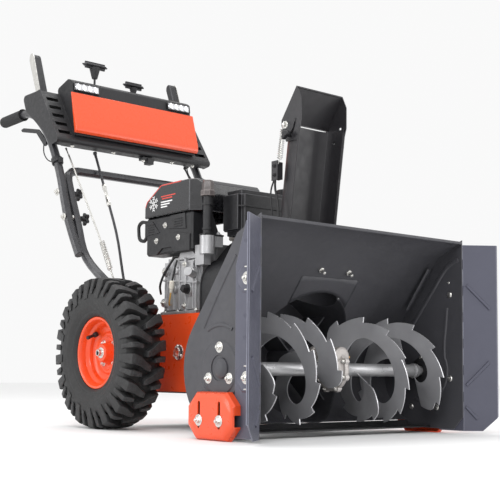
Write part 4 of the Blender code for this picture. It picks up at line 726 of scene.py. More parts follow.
def side_details(side, sign):
    """Ribs pressed in a side plate, its bearing and its bolts, on both faces."""
    out_x, in_x = sign * SIDE_X, sign * (SIDE_X - 0.003)
    out, inward = (sign, 0, 0), (-sign, 0, 0)
    slanted = [(0.088, 0.425), (0.150, 0.345), (0.208, 0.262)]
    front_arc = arc((0.145, 0.167), 0.100, 62, 118, 12)
    under_arc = arc((0.145, 0.167), 0.076, -28, -150, 18)
    inner_arc = [(0.052, 0.335), (0.056, 0.290), (0.062, 0.240)] + arc((0.135, 0.166), 0.082, 140, 292,
                                                                       22)[2:]
    bm = bmesh.new()
    bead(bm, smooth_path(plane_path(slanted, out_x)), 0.010, 0.0026, out)
    bead(bm, plane_path(front_arc, out_x), 0.011, 0.0030, out)
    bead(bm, plane_path(under_arc, out_x), 0.009, 0.0022, out)
    bead(bm, smooth_path(plane_path(inner_arc, in_x), 3), 0.011, 0.0034, inward)
    bead(bm, smooth_path(plane_path([(0.012, 0.462), (0.055, 0.440), (0.110, 0.372), (0.180, 0.285)], in_x)),
         0.014, 0.0032,
         inward)
    centre_out, centre_in = at(out_x, 0.145, 0.167), at(in_x, 0.135, 0.166)
    lathe(bm, [(-0.0005, 0.066), (0.0022, 0.062), (0.0022, 0.030), (-0.0005, 0.030)], centre_out, out, 64)
    piece(f"side_ribs_{side}", bm, GRAPHITE, "root", 0.0006, 2)
    bm = bmesh.new()
    lathe(bm, [(0.0, 0.040), (0.004, 0.039), (0.006, 0.031), (0.016, 0.028), (0.018, 0.022), (0.018, 0.0140),
               (0.0, 0.0140)], centre_in, inward, 48)
    piece(f"side_bearing_{side}", bm, SCRAPER, "root", 0.0005, 2)
    bm = bmesh.new()
    cap = bmesh.new()
    solid(cap, [(-0.0005, 0.024), (0.0035, 0.0235), (0.0085, 0.017), (0.0100, 0.010)],
          at(out_x + sign * 0.002, 0.135, 0.166), out, 40)
    piece(f"shaft_cap_{side}", cap, GRAPHITE, "root", 0.0004, 2)
    for y, z in BEARING_BOLTS:
        hex_bolt(bm, at(out_x + sign * 0.0020, y, z), out, 0.0075)
        dome_bolt(bm, at(in_x - sign * 0.004, y * 0.72 + 0.135 * 0.28, z * 0.72 + 0.166 * 0.28), inward,
                  0.005)
    for y, z in ((0.043, 0.369), (0.043, 0.145), (0.090, 0.068), (0.180, 0.068)):
        dome_bolt(bm, at(in_x, y, z), inward, 0.0085)
    dome_bolt(bm, at(in_x, 0.046, 0.402), inward, 0.004)
    piece(f"side_bolts_{side}", bm, ZINC, "root", 0.0003, 1)


def wing_details(side, sign):
    """Nuts on octagonal plates, and the ribs folded into the wing."""
    low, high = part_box(f"snow_wing_{side}")
    leg = sign * (SIDE_X + 0.0033)
    out = (sign, 0, 0)
    bm = bmesh.new()
    nuts = bmesh.new()
    for z in (0.369, 0.145):
        spot = at(leg, 0.043, z)
        lathe(bm, [(0, 0.036), (0.0026, 0.032), (0.0026, 0.028), (0.0008, 0.024), (0.0008, 0.001),
                   (-0.0005, 0.001),
                   (-0.0005, 0.036)], spot, out, 8, phase=math.pi / 8)
        for rise in (0.026, -0.026):
            bead(nuts, [spot + Vector((sign * 0.0022, -0.006, rise)),
                        spot + Vector((sign * 0.0022, 0.006, rise))],
                 0.0045, 0.0012, out)
        hex_bolt(nuts, spot + Vector((sign * 0.001, 0, 0)), out, 0.0085)
    for z in (0.455, 0.285, 0.235):
        lathe(bm, [(-0.0005, 0.0052), (0.0006, 0.0048), (0.0006, 0.0034), (-0.0005, 0.0030)],
              at(leg, 0.050, z), out, 20)
    angle = math.radians(35.2)
    along = Vector((sign * math.cos(angle), -math.sin(angle), 0))
    face = Vector((-sign * math.sin(angle), -math.cos(angle), 0))
    root = at(sign * (SIDE_X + 0.0004), 0.0, 0) + face * 0.0002
    for first, last in (((0.010, 0.392), (0.072, 0.330)), ((0.070, 0.190), (0.008, 0.128)),
                        ((0.006, 0.072), (0.036, 0.040))):
        path = [root + along * first[0] + Vector((0, 0, first[1])),
                root + along * last[0] + Vector((0, 0, last[1]))]
        bead(bm, path, 0.010, 0.0040, face)
    for index in range(6):
        z = 0.085 + 0.070 * index
        block(bm, at(sign * (SIDE_X + 0.0008) - 0.0016, -0.0016, z),
              at(sign * (SIDE_X + 0.0008) + 0.0016, 0.006, z + 0.026))
    piece(f"wing_ribs_{side}", bm, WING, "root", 0.0006, 2)
    piece(f"wing_nuts_{side}", nuts, ZINC, "root", 0.0003, 1)


def bucket_details():
    """Hem, studs and the sheet behind the auger."""
    inner = SIDE_X - 0.0036
    bm = bmesh.new()
    path = [at(-inner, 0.0026, 0.5036), at(inner, 0.0026, 0.5036)]
    sweep(bm, path, [(0.0034 * math.cos(a),
                      0.0034 * math.sin(a)) for a in [2 * math.pi * i / 16 for i in range(16)]],
          (0, 0, 1))
    for x_side in (-1, 1):
        run = [at(x_side * inner * 0.93, 0.091, 0.440), at(x_side * inner * 0.93, 0.170, 0.333)]
        bead(bm, run, 0.012, 0.0030, (0, -0.79, -0.60))
    piece("bucket_hem", bm, GRAPHITE, "root", 0.0, 2)
    bm = bmesh.new()
    columns, rows, wide, top = 28, 5, 0.100, 0.398
    rings = []
    for column in range(columns + 1):
        x = wide * (2 * column / columns - 1)
        foot = DRUM_Z + math.sqrt(DRUM_RADIUS ** 2 - x * x)
        heights = [top + (foot - top) * row / rows for row in range(rows + 1)]
        rings.append([bm.verts.new(at(x, KNEE_Y + (KNEE_Z - z) * BACK_SLOPE - 0.0006, z)) for z in heights])
    for first, second in zip(rings, rings[1:]):
        for row in range(rows):
            bm.faces.new((first[row], first[row + 1], second[row + 1], second[row]))
    patch = piece("drum_throat_patch", bm, GRAPHITE, "root")
    sheet = patch.modifiers.new("sheet", "SOLIDIFY")
    sheet.thickness = 0.0020
    sheet.offset = 0
    bm = bmesh.new()
    back = Vector((0, -0.80, -0.60))
    for x in (-0.048, 0.048):
        spot = at(x, 0.1245, 0.4145)
        solid(bm, [(-0.004, 0.0085), (0.003, 0.0085), (0.004, 0.0075)], spot, back, 6)
        solid(bm, [(0.002, 0.0045), (0.016, 0.0045), (0.017, 0.0036)], spot, back, 20)
    piece("bucket_studs", bm, ZINC, "root", 0.0003, 1)


def skid(side, sign):
    """A pressed shoe: an eight-sided face whose rim curls back to the side plate."""
    low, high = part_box(f"skid_shoe_{side}")
    outer = high.x if sign > 0 else low.x
    inner = low.x if sign > 0 else high.x
    y0, y1, z1 = low.y, high.y, high.z
    cut = 0.030
    shape = [(y0 + cut, 0.0), (y1 - cut, 0.0), (y1, cut), (y1, z1 - cut), (y1 - cut, z1), (y0 + cut, z1),
             (y0, z1 - cut),
             (y0, cut)]
    middle = Vector(((y0 + y1) / 2, z1 / 2))
    bm = bmesh.new()
    rings = []
    depth = abs(outer - inner)
    for inset, drop in ((0.016, 0.0), (0.009, 0.0008), (0.0045, 0.004), (0.001, 0.010), (0.0, depth)):
        ring = []
        for y, z in shape:
            toward = middle - Vector((y, z))
            spot = Vector((y, z)) + Vector((math.copysign(min(abs(toward.x), inset), toward.x),
                                            math.copysign(min(abs(toward.y), inset), toward.y)))
            ring.append(bm.verts.new((outer - sign * drop, spot.x, spot.y)))
        rings.append(ring)
    for first, second in zip(rings, rings[1:]):
        for a in range(len(shape)):
            b = (a + 1) % len(shape)
            bm.faces.new((first[a], first[b], second[b], second[a]))
    bm.faces.new(rings[0][::-1])
    made = piece(f"skid_pressed_{side}", bm, ORANGE, "root")
    shell = made.modifiers.new("sheet", "SOLIDIFY")
    shell.thickness = 0.0035
    shell.offset = -1
    tools = bmesh.new()
    for y in (y0 + 0.050, y1 - 0.050):
        prism(tools, arc((y, 0.086), 0.0045, 0, 180, 8) + arc((y, 0.032), 0.0045, 180, 360, 8), outer - 0.03,
              outer + 0.03)
    for y in (y0, y1):
        prism(tools, [(y - 0.012, 0.034), (y + 0.012, 0.034), (y + 0.012, 0.060), (y - 0.012, 0.060)],
              outer - sign * 0.008 - 0.0001 if sign < 0 else outer - 0.04,
              outer + 0.04 if sign < 0 else outer - 0.008)
    mesh = bpy.data.meshes.new(f"skid_cutter_{side}")
    bmesh.ops.recalc_face_normals(tools, faces=tools.faces)
    tools.to_mesh(mesh)
    tools.free()
    cutter = bpy.data.objects.new(f"skid_cutter_{side}", mesh)
    scene.collection.objects.link(cutter)
    cutter.hide_render = True
    cutter.hide_viewport = True
    slots = made.modifiers.new("slots", "BOOLEAN")
    slots.object = cutter
    slots.operation = "DIFFERENCE"
    edge = made.modifiers.new("edge", "BEVEL")
    edge.width = 0.0010
    edge.segments = 2
    edge.limit_method = "ANGLE"
    even = made.modifiers.new("even", "WEIGHTED_NORMAL")
    even.keep_sharp = False
    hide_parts(f"skid_shoe_{side}")
    bm = bmesh.new()
    for y in (y0 + 0.050, y1 - 0.050):
        hex_bolt(bm, (outer, y, 0.046), (sign, 0, 0), 0.0078)
    piece(f"skid_bolts_{side}", bm, ZINC, "root", 0.0003, 1)


for side, sign in (("left", -1), ("right", 1)):
    polish(f"side_plate_{side}", GRAPHITE, 0.0006)
    polish(f"snow_wing_{side}", WING, 0.0010)
    side_details(side, sign)
    wing_details(side, sign)
    skid(side, sign)
bucket_details()
polish("auger_housing", GRAPHITE, 0.0006)
polish("impeller_drum", GRAPHITE, 0.0008)
polish("scraper_bar", SCRAPER, 0.0008)

# ---------------------------------------------------------------- chute
CHUTE_LEAN = math.tan(math.radians(8.0))
CHUTE_HALF = 0.0795
HINGE = (0.2345, 0.807)
SLOT_BOLT = (0.2069, 0.7677)


def chute_edge(z, out=0.058):
    """The place along Y of the channel's front edge at height z."""
    return 0.265 - (z - 0.540) * CHUTE_LEAN - out


def chute_details():
    """Hems, knobs, hinge bolts, cable bracket, spring and cables of the chute, and its ring clamps."""
    bm = bmesh.new()
    for sign in (-1, 1):
        rise = [at(sign * CHUTE_HALF, chute_edge(z), z) for z in (0.512, 0.600, 0.700, 0.790)]
        wire(bm, rise, 0.0026, 2, 10)
    for z in (0.545, 0.560):
        sweep(bm, [at(x, chute_edge(z, -0.0030), z) for x in (-0.060, 0.060)],
              [(-0.004, -0.002), (-0.002, 0.0014), (0.002, 0.0014), (0.004, -0.002)], (0, 1, 0))
    piece("chute_hems", bm, CHUTE, "chute", 0.0, extra=())
    bm = bmesh.new()
    for sign in (-1, 1):
        star_knob(bm, at(sign * 0.0822, *SLOT_BOLT), (sign, 0, 0), 0.016, 3)
    piece("deflector_knobs", bm, PLASTIC, "chute", 0.0005, 1)
    bm = bmesh.new()
    for sign in (-1, 1):
        hex_bolt(bm, at(sign * 0.0806, HINGE[0] - 0.008, HINGE[1] - 0.010), (sign, 0, 0), 0.0060)
    piece("deflector_bolts", bm, ZINC, "deflector", 0.0003, 1)
    bm = bmesh.new()
    lip_top = [at(x, 0.1785, 0.8868) for x in (-0.078, 0.078)]
    sweep(bm, lip_top, circle(0.0026), (0, 0, 1))
    piece("deflector_hem", bm, CHUTE, "deflector")
    bm = bmesh.new()
    block(bm, at(-0.100, 0.236, 0.655), at(-0.0795, 0.252, 0.700))
    block(bm, at(-0.1015, 0.232, 0.652), at(-0.098, 0.256, 0.703))
    for z in (0.666, 0.690):
        hex_bolt(bm, at(-0.1015, 0.244, z), (-1, 0, 0), 0.0042, False)
    piece("cable_bracket", bm, CHUTE, "chute", 0.0006, 1)
    bm = bmesh.new()
    sweep(bm, coil(at(-0.0985, 0.226, 0.706), at(-0.0985, 0.214, 0.782), 0.0062, 15), circle(0.0012, 6))
    wire(bm, [at(-0.0985, 0.226, 0.706), at(-0.0985, 0.232, 0.694), at(-0.0985, 0.240, 0.700)], 0.0012, 4, 6)
    wire(bm, [at(-0.0985, 0.214, 0.782), at(-0.097, 0.214, 0.800), at(-0.084, 0.222, 0.805)], 0.0012, 4, 6)
    piece("deflector_spring", bm, ZINC, "chute")
    bm = bmesh.new()
    wire(bm, [at(-0.0985, 0.244, 0.656), at(-0.099, 0.243, 0.630), at(-0.101, 0.230, 0.590),
              at(-0.102, 0.226, 0.545), at(-0.096, 0.232, 0.510), at(-0.0820, 0.240, 0.494)], 0.0030, 6, 10)
    wire(bm, [at(-0.0985, 0.248, 0.656), at(-0.103, 0.256, 0.620), at(-0.106, 0.246, 0.560),
              at(-0.101, 0.246, 0.512), at(-0.0830, 0.248, 0.486)], 0.0022, 6, 10)
    piece("deflector_cables", bm, GRIP, "chute")
    bm = bmesh.new()
    bolts = bmesh.new()
    for angle in (205, 325, 85):
        x, y = arc((0, 0.245), 0.106, angle, angle, 1)[0]
        turn = Matrix.Rotation(math.radians(angle), 4, "Z")
        centre = at(x, y, 0.4405)
        block(bm, centre - Vector((0.013, 0.017, 0.0085)), centre + Vector((0.009, 0.017, 0.0085)), turn,
              centre)
        hex_bolt(bolts, centre + Vector((0, 0, 0.0085)), (0, 0, 1), 0.0055)
    piece("ring_clamps", bm, PLASTIC, "root", 0.0015, 2)
    piece("ring_clamp_bolts", bolts, ZINC, "root", 0.0003, 1)


for node in ("chute", "deflector"):
    polish(node, CHUTE, 0.0007)
chute_details()

# ---------------------------------------------------------------- engine
SHROUD_LOW, SHROUD_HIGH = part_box("engine_shroud")
CRANK_LOW, CRANK_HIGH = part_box("crankcase")
SUMP_X = -0.150
COVER_X = -0.168
CRANK_Z = 0.425                        # height of the crankshaft
RECOIL_RADIUS = 0.104


def y_of(place):
    """A world place's y from the bucket's front lip."""
    return place.y - LIP_Y


def shroud_details():
    """Snow crystal, short bars, red trim and the ribs of the engine cover."""
    face = SHROUD_LOW.x
    bm = bmesh.new()
    centre = Vector((0.692, 0.638))
    for arm in range(6):
        angle = math.radians(60 * arm + 30)
        way = Vector((math.cos(angle), math.sin(angle)))
        side = Vector((-way.y, way.x))
        def bar(start, stop, wide=0.0013):
            across = (stop - start).normalized()
            across = Vector((-across.y, across.x)) * wide
            prism(bm, [tuple(start - across), tuple(start + across), tuple(stop + across),
                       tuple(stop - across)],
                  face - 0.0005, face + 0.001)
        bar(centre, centre + way * 0.020)
        for out in (0.010, 0.016):
            for lean in (-1, 1):
                bar(centre + way * out, centre + way * (out + 0.005) + side * lean * 0.005, 0.0011)
    for z, y0, y1 in ((0.636, 0.600, 0.655), (0.629, 0.612, 0.655), (0.622, 0.624, 0.655)):
        block(bm, (face - 0.0005, y0, z), (face + 0.001, y1, z + 0.0035))
    bmesh.ops.translate(bm, vec=(0, LIP_Y, 0), verts=bm.verts)
    piece("cover_marks", bm, MARK, "root")
    bm = bmesh.new()
    for z, y0, y1 in ((0.6520, 0.585, 0.655), (0.6455, 0.600, 0.650)):
        block(bm, at(face - 0.0005, y0, z), at(face + 0.001, y1, z + 0.0035))
    edge = [at(face + 0.002, y, z) for y, z in ((0.560, 0.6872), (0.655, 0.6872), (0.692, 0.6668),
                                                (0.726, 0.6472),
                                              (0.7352, 0.632))]
    sweep(bm, edge, [(-0.003, -0.002), (-0.003, 0.0012), (0.003, 0.0012), (0.003, -0.002)], (-0.5, 0, 1))
    piece("cover_trim", bm, TRIM, "root", 0.0003, 1)
    bm = bmesh.new()
    bead(bm, [at(face, y, 0.6035) for y in (0.522, 0.733)], 0.005, 0.0022, (-1, 0, 0))
    for x in (-0.120, -0.060, 0.000):
        bead(bm, [at(x, 0.520, 0.6880), at(x, 0.648, 0.6880)], 0.014, 0.0028, (0, 0, 1))
    piece("cover_ribs", bm, GLOSS, "root", 0.0004, 1)


def carburettor_details():
    """Raised plates, grooves and screws on the cover of the carburettor."""
    bm = bmesh.new()
    prism(bm, [(0.516, 0.4905), (0.516, 0.5360), (0.600, 0.5470), (0.645, 0.5400), (0.712, 0.5400),
               (0.718, 0.5250),
               (0.706, 0.4905), (0.672, 0.4905), (0.648, 0.5060), (0.604, 0.5060), (0.588, 0.4905)],
          COVER_X - 0.0040, COVER_X + 0.002)
    prism(bm, [(0.536, 0.5520), (0.620, 0.5600), (0.608, 0.5960), (0.540, 0.5960)], COVER_X - 0.0028,
          COVER_X + 0.002)
    prism(bm, [(0.664, 0.5520), (0.730, 0.5500), (0.730, 0.5880), (0.700, 0.5880)], COVER_X - 0.0024,
          COVER_X + 0.002)
    for z in (0.562, 0.569, 0.576, 0.583):
        bead(bm, [Vector((COVER_X - 0.0028, 0.552, z)), Vector((COVER_X - 0.0028, 0.590, z))],
             0.0040, 0.0016, (-1, 0, 0))
        bead(bm, [Vector((COVER_X - 0.0024, 0.690, z - 0.004)), Vector((COVER_X - 0.0024, 0.724, z - 0.004))],
             0.0040, 0.0016, (-1, 0, 0))
    bmesh.ops.translate(bm, vec=(0, LIP_Y, 0), verts=bm.verts)
    piece("carburettor_plates", bm, PLASTIC, "root", 0.0010, 2)
    bm = bmesh.new()
    for y, z, out in ((0.675, 0.529, 0.0040), (0.568, 0.530, 0.0040), (0.638, 0.571, 0.0)):
        lathe(bm, [(0, 0.0085), (0.0012, 0.0085), (0.0012, 0.0060), (0, 0.0060)], at(COVER_X - out, y, z),
              (-1, 0, 0), 24)
        hex_bolt(bm, at(COVER_X - out, y, z), (-1, 0, 0), 0.0046, False)
    piece("carburettor_screws", bm, ZINC, "root", 0.0003, 1)


def filler():
    """Facetted oil cap over a collar, and the gusset that steadies its tube."""
    low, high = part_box("oil_filler_cap")
    middle = (low + high) / 2
    bm = bmesh.new()
    base = Vector((middle.x, middle.y, low.z))
    solid(bm, [(0.000, 0.0195), (0.002, 0.0208), (0.014, 0.0204), (0.017, 0.0180)], base, (0, 0, 1), 8,
          math.pi / 8)
    solid(bm, [(0.012, 0.0180), (0.034, 0.0172), (0.0436, 0.0135)], base, (0, 0, 1), 6, 0.3)
    made = piece("oil_cap_facetted", bm, CAP, "oil_filler_cap", 0.0010, 2, extra=(CAP_HIGHLIGHT,))
    # the cap's bevelled edges take its lighter copy as a painted highlight
    made.modifiers["edge"].material = 1
    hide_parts("oil_filler_cap")
    foot = CRANK_HIGH.z
    y = y_of(middle)
    bm = bmesh.new()
    prism(bm, [(middle.x + 0.010, 0.598), (middle.x + 0.010, foot + 0.001), (middle.x + 0.041, foot + 0.001),
               (middle.x + 0.036, foot + 0.010)], middle.y - 0.0035, middle.y + 0.0035, "Y")
    block(bm, at(middle.x - 0.019, y - 0.014, foot + 0.0004), at(middle.x + 0.046, y + 0.014, foot + 0.0048))
    for z in (0.545, 0.612):
        lathe(bm, [(-0.003, 0.0130), (-0.003, 0.0152), (0.003, 0.0152), (0.003, 0.0130)], at(middle.x, y, z),
              (0, 0, 1), 28)
    piece("filler_gusset", bm, PLASTIC, "root", 0.0006, 1)
    bm = bmesh.new()
    hex_bolt(bm, at(middle.x + 0.034, y - 0.004, foot + 0.0048), (0, 0, 1), 0.0056)
    block(bm, at(middle.x + 0.018, y - 0.013, foot - 0.030), at(middle.x + 0.044, y + 0.013, foot))
    piece("filler_lug", bm, ENGINE, "root", 0.0010, 2)


def crankcase_details():
    """Joint flange, ribs, bosses, plug, sensor and bolts of the crankcase."""
    foot, left = CRANK_LOW.z, SUMP_X
    bm = bmesh.new()
    prism(bm, [(0.552, foot), (0.552, 0.470), (0.562, 0.474), (0.562, foot)], left - 0.007, left + 0.01)
    for y in (0.520, 0.585, 0.612, 0.640):
        prism(bm, [(y, foot + 0.012), (y + 0.0035, foot + 0.012), (y + 0.0035, 0.448), (y, 0.462)],
              left - 0.005, left + 0.01)
    prism(bm, [(0.506, 0.400), (0.668, 0.414), (0.668, 0.420), (0.506, 0.406)], left - 0.004, left + 0.01)
    prism(bm, [(0.504, foot), (0.672, foot), (0.672, foot + 0.008), (0.504, foot + 0.008)], left - 0.0075,
          left + 0.02)
    prism(bm, [(0.512, 0.470), (0.560, 0.520), (0.580, 0.520), (0.600, 0.470)], -0.148, -0.100)
    bmesh.ops.translate(bm, vec=(0, LIP_Y, 0), verts=bm.verts)
    for y, z, size in ((0.540, 0.385, 0.017), (0.522, 0.432, 0.012), (0.598, 0.440, 0.010),
                       (0.650, 0.440, 0.013),
                       (0.655, 0.352, 0.012), (0.607, 0.390, 0.011)):
        solid(bm, [(-0.002, size + 0.003), (0.003, size + 0.001), (0.010, size)], at(left, y, z), (-1, 0, 0),
              32)
    solid(bm, [(0, 0.0105), (0.030, 0.0095), (0.034, 0.0120), (0.040, 0.0120)],
          at(left - 0.004, 0.520, 0.424),
          (-0.75, -0.45, 0.12), 24)
    piece("crankcase_casting", bm, ENGINE, "root", 0.0010, 2)
    bm = bmesh.new()
    for y, z in ((0.557, 0.340), (0.557, 0.455), (0.522, 0.4325), (0.650, 0.440), (0.655, 0.352)):
        reach = 0.007 if y == 0.557 else 0.010
        hex_bolt(bm, at(left - reach, y, z), (-1, 0, 0), 0.0050)
    for y in (0.515, 0.600, 0.662):
        hex_bolt(bm, at(left + 0.004, y, foot + 0.008), (0, 0, 1), 0.0058)
    piece("crankcase_bolts", bm, ZINC, "root", 0.0003, 1)
    bm = bmesh.new()
    solid(bm, [(-0.001, 0.0150), (0.003, 0.0150)], at(left - 0.009, 0.540, 0.385), (-1, 0, 0), 28)
    solid(bm, [(0.000, 0.0125), (0.016, 0.0118), (0.018, 0.0105)], at(left - 0.010, 0.540, 0.385), (-1, 0, 0),
          4,
          math.radians(10))
    wire(bm, [at(left - 0.004, 0.598, 0.470), at(left - 0.012, 0.600, 0.440), at(left - 0.016, 0.606, 0.405)],
         0.0028, 6, 8)
    wire(bm, [at(left - 0.004, 0.612, 0.478), at(left - 0.014, 0.640, 0.440), at(left - 0.012, 0.668, 0.404),
              at(left + 0.006, 0.690, 0.380)], 0.0034, 6, 8)
    wire(bm, [at(-0.094, 0.500, 0.560), at(-0.110, 0.500, 0.520), at(-0.140, 0.510, 0.500),
              at(-0.156, 0.516, 0.450)],
         0.0026, 6, 8)
    piece("plug_and_hoses", bm, GRIP, "root", 0.0004, 1)
    bm = bmesh.new()
    solid(bm, [(0, 0.0048), (0.003, 0.0072), (0.020, 0.0072), (0.024, 0.0050), (0.034, 0.0042)],
          at(left - 0.016, 0.604, 0.412), (0.02, 0.18, -1), 20)
    piece("oil_sensor_plug", bm, CREAM, "root", 0.0005, 1)
    bm = bmesh.new()
    wire(bm, [at(left - 0.016, 0.609, 0.380), at(left - 0.014, 0.616, 0.364), at(left - 0.008, 0.628, 0.350),
              at(left + 0.004, 0.640, 0.344)], 0.0022, 6, 8)
    piece("sensor_wire", bm, YELLOW, "root")
    bm = bmesh.new()
    lathe(bm, [(0, 0.1005), (0, 0.1060), (0.004, 0.1065), (0.018, 0.1060), (0.018, 0.1005)],
          at(0, y_of(CRANK_HIGH) + 0.0006, CRANK_Z), (0, 1, 0), 72)
    piece("blower_ring", bm, ENGINE, "root", 0.0006, 2)


def recoil_details():
    """Louvres, ribs and screws of the recoil starter, fins of the cylinder and guard of the muffler."""
    low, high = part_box("recoil_starter_housing")
    bm = bmesh.new()
    centre = Vector((0, high.y, CRANK_Z))
    for index in range(18):
        angle = 2 * math.pi * index / 18
        way = Vector((math.cos(angle), 0, math.sin(angle)))
        bead(bm, [centre + way * 0.044 - Vector((0, 0.0006, 0)),
                  centre + way * 0.080 - Vector((0, 0.0036, 0))], 0.007,
             0.0030, (0, 1, 0))
        ring = way * RECOIL_RADIUS
        block(bm, Vector((ring.x - 0.003, low.y + 0.012, CRANK_Z + ring.z - 0.0014)),
              Vector((ring.x + 0.003, low.y + 0.050, CRANK_Z + ring.z + 0.0014)),
              Matrix.Rotation(-angle, 4, "Y"),
              Vector((ring.x, low.y + 0.030, CRANK_Z + ring.z)))
    solid(bm, [(-0.002, 0.036), (0.002, 0.034), (0.003, 0.026)], centre, (0, 1, 0), 48)
    piece("recoil_louvres", bm, PLASTIC, "root", 0.0005, 1)
    bm = bmesh.new()
    for index in range(4):
        angle = math.pi / 4 + math.pi / 2 * index
        hex_bolt(bm, Vector((0.094 * math.cos(angle), low.y + 0.062, CRANK_Z + 0.094 * math.sin(angle))),
                 (0, 1, 0), 0.0045)
    piece("recoil_screws", bm, ZINC, "root", 0.0003, 1)
    low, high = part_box("cylinder_head")
    bm = bmesh.new()
    for index in range(7):
        x = low.x + 0.006 + 0.0105 * index
        block(bm, (x, low.y - 0.007, low.z - 0.004), (x + 0.0028, high.y + 0.007, high.z + 0.001))
    piece("cylinder_fins", bm, ENGINE, "root", 0.0006, 1)
    low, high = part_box("muffler")
    bm = bmesh.new()
    for index in range(6):
        y = low.y + 0.018 + 0.020 * index
        bead(bm, [Vector((low.x + 0.016, y, high.z)), Vector((high.x - 0.016, y, high.z))], 0.010, 0.0035,
             (0, 0, 1))
        bead(bm, [Vector((high.x, y, low.z + 0.014)), Vector((high.x, y, high.z - 0.014))], 0.010, 0.0035,
             (1, 0, 0))
    solid(bm, [(-0.004, 0.013), (0.016, 0.013), (0.016, 0.010), (0.004, 0.0098)],
          Vector((high.x - 0.030, low.y, low.z + 0.030)),
          (0.3, -1, -0.2), 28)
    piece("muffler_guard", bm, HEATED, "root", 0.0006, 1)


def tank_and_case():
    """Seam and neck of the fuel tank, ribs of the belt cover, and the bearings on the case."""
    low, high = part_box("fuel_tank")
    bm = bmesh.new()
    seam = high.z - 0.048
    inset = 0.013
    path = [(low.x, low.y + inset), (low.x + inset, low.y), (high.x - inset, low.y), (high.x, low.y + inset)]
    sweep(bm, [Vector((x, y, seam)) for x, y in path], [(-0.0020, -0.002), (0.0024, -0.002), (0.0024, 0.002),
                                                        (-0.0020, 0.002)],
          (0, 0, 1))
    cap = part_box("fuel_cap")
    centre = (cap[0] + cap[1]) / 2
    solid(bm, [(-0.004, 0.034), (0.0010, 0.032)], Vector((centre.x, centre.y, high.z + 0.0002)), (0, 0, 1),
          40)
    piece("tank_seam", bm, PLASTIC, "root", 0.0006, 1)
    bm = bmesh.new()
    for index in range(20):
        angle = 2 * math.pi * index / 20
        spot = Vector((centre.x + 0.0258 * math.cos(angle), centre.y + 0.0258 * math.sin(angle), 0))
        block(bm, (spot.x - 0.0012, spot.y - 0.0012, cap[0].z + 0.003),
              (spot.x + 0.0012, spot.y + 0.0012, cap[1].z - 0.002))
    piece("fuel_cap_ribs", bm, PLASTIC, "fuel_cap", 0.0003, 1)
    low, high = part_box("belt_cover")
    bm = bmesh.new()
    shape = [(low.x, low.z + 0.006)] + arc((low.x + 0.080, low.z + 0.068), 0.080, 180, 112, 8)
    path = [Vector((x, high.y - 0.004, z)) for x, z in shape]
    sweep(bm, path, [(-0.0024, -0.004), (-0.0024, 0.0028), (0.0024, 0.0028), (0.0024, -0.004)], (-1, 0, 0.3))
    piece("belt_cover_rim", bm, PLASTIC, "root", 0.0006, 1)
    bm = bmesh.new()
    case_low, case_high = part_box("transmission_case")
    for sign, x in ((-1, case_low.x), (1, case_high.x)):
        wheel_y = JOINT["wheel_left_spin"]["pos_m"][1]
        for y, z, size in ((wheel_y, 0.209, 0.026), (case_low.y + 0.200, 0.212, 0.022)):
            lathe(bm, [(-0.0005, size), (0.003, size - 0.001), (0.006, size * 0.62), (0.010, size * 0.56),
                       (0.010, 0.0125),
                       (-0.0005, 0.0125)], Vector((x, y, z)), (sign, 0, 0), 36)
            for angle in (90, 210, 330):
                spot = Vector((x + sign * 0.002, y + size * 0.80 * math.cos(math.radians(angle)),
                               z + size * 0.80 * math.sin(math.radians(angle))))
                hex_bolt(bm, spot, (sign, 0, 0), 0.0036, False)
        for y, z in ((0.395, 0.300), (0.395, 0.130), (0.470, 0.300)):
            hex_bolt(bm, at(x, y, z), (sign, 0, 0), 0.0052)
    piece("case_bearings", bm, ZINC, "root", 0.0004, 1)


# ---------------------------------------------------------------- console and handlebar
CONSOLE_Y, CONSOLE_Z = 1.036, 0.866
FACE_UP = Vector((0.568, 0.823))       # along the front of a cheek, in (y, z)
FACE_IN = Vector((0.823, -0.568))


def face_point(x, along, inward):
    """A point measured along and behind the front of the console's cheeks."""
    spot = FACE_UP * along + FACE_IN * inward
    return at(x, CONSOLE_Y + spot.x, CONSOLE_Z + spot.y)


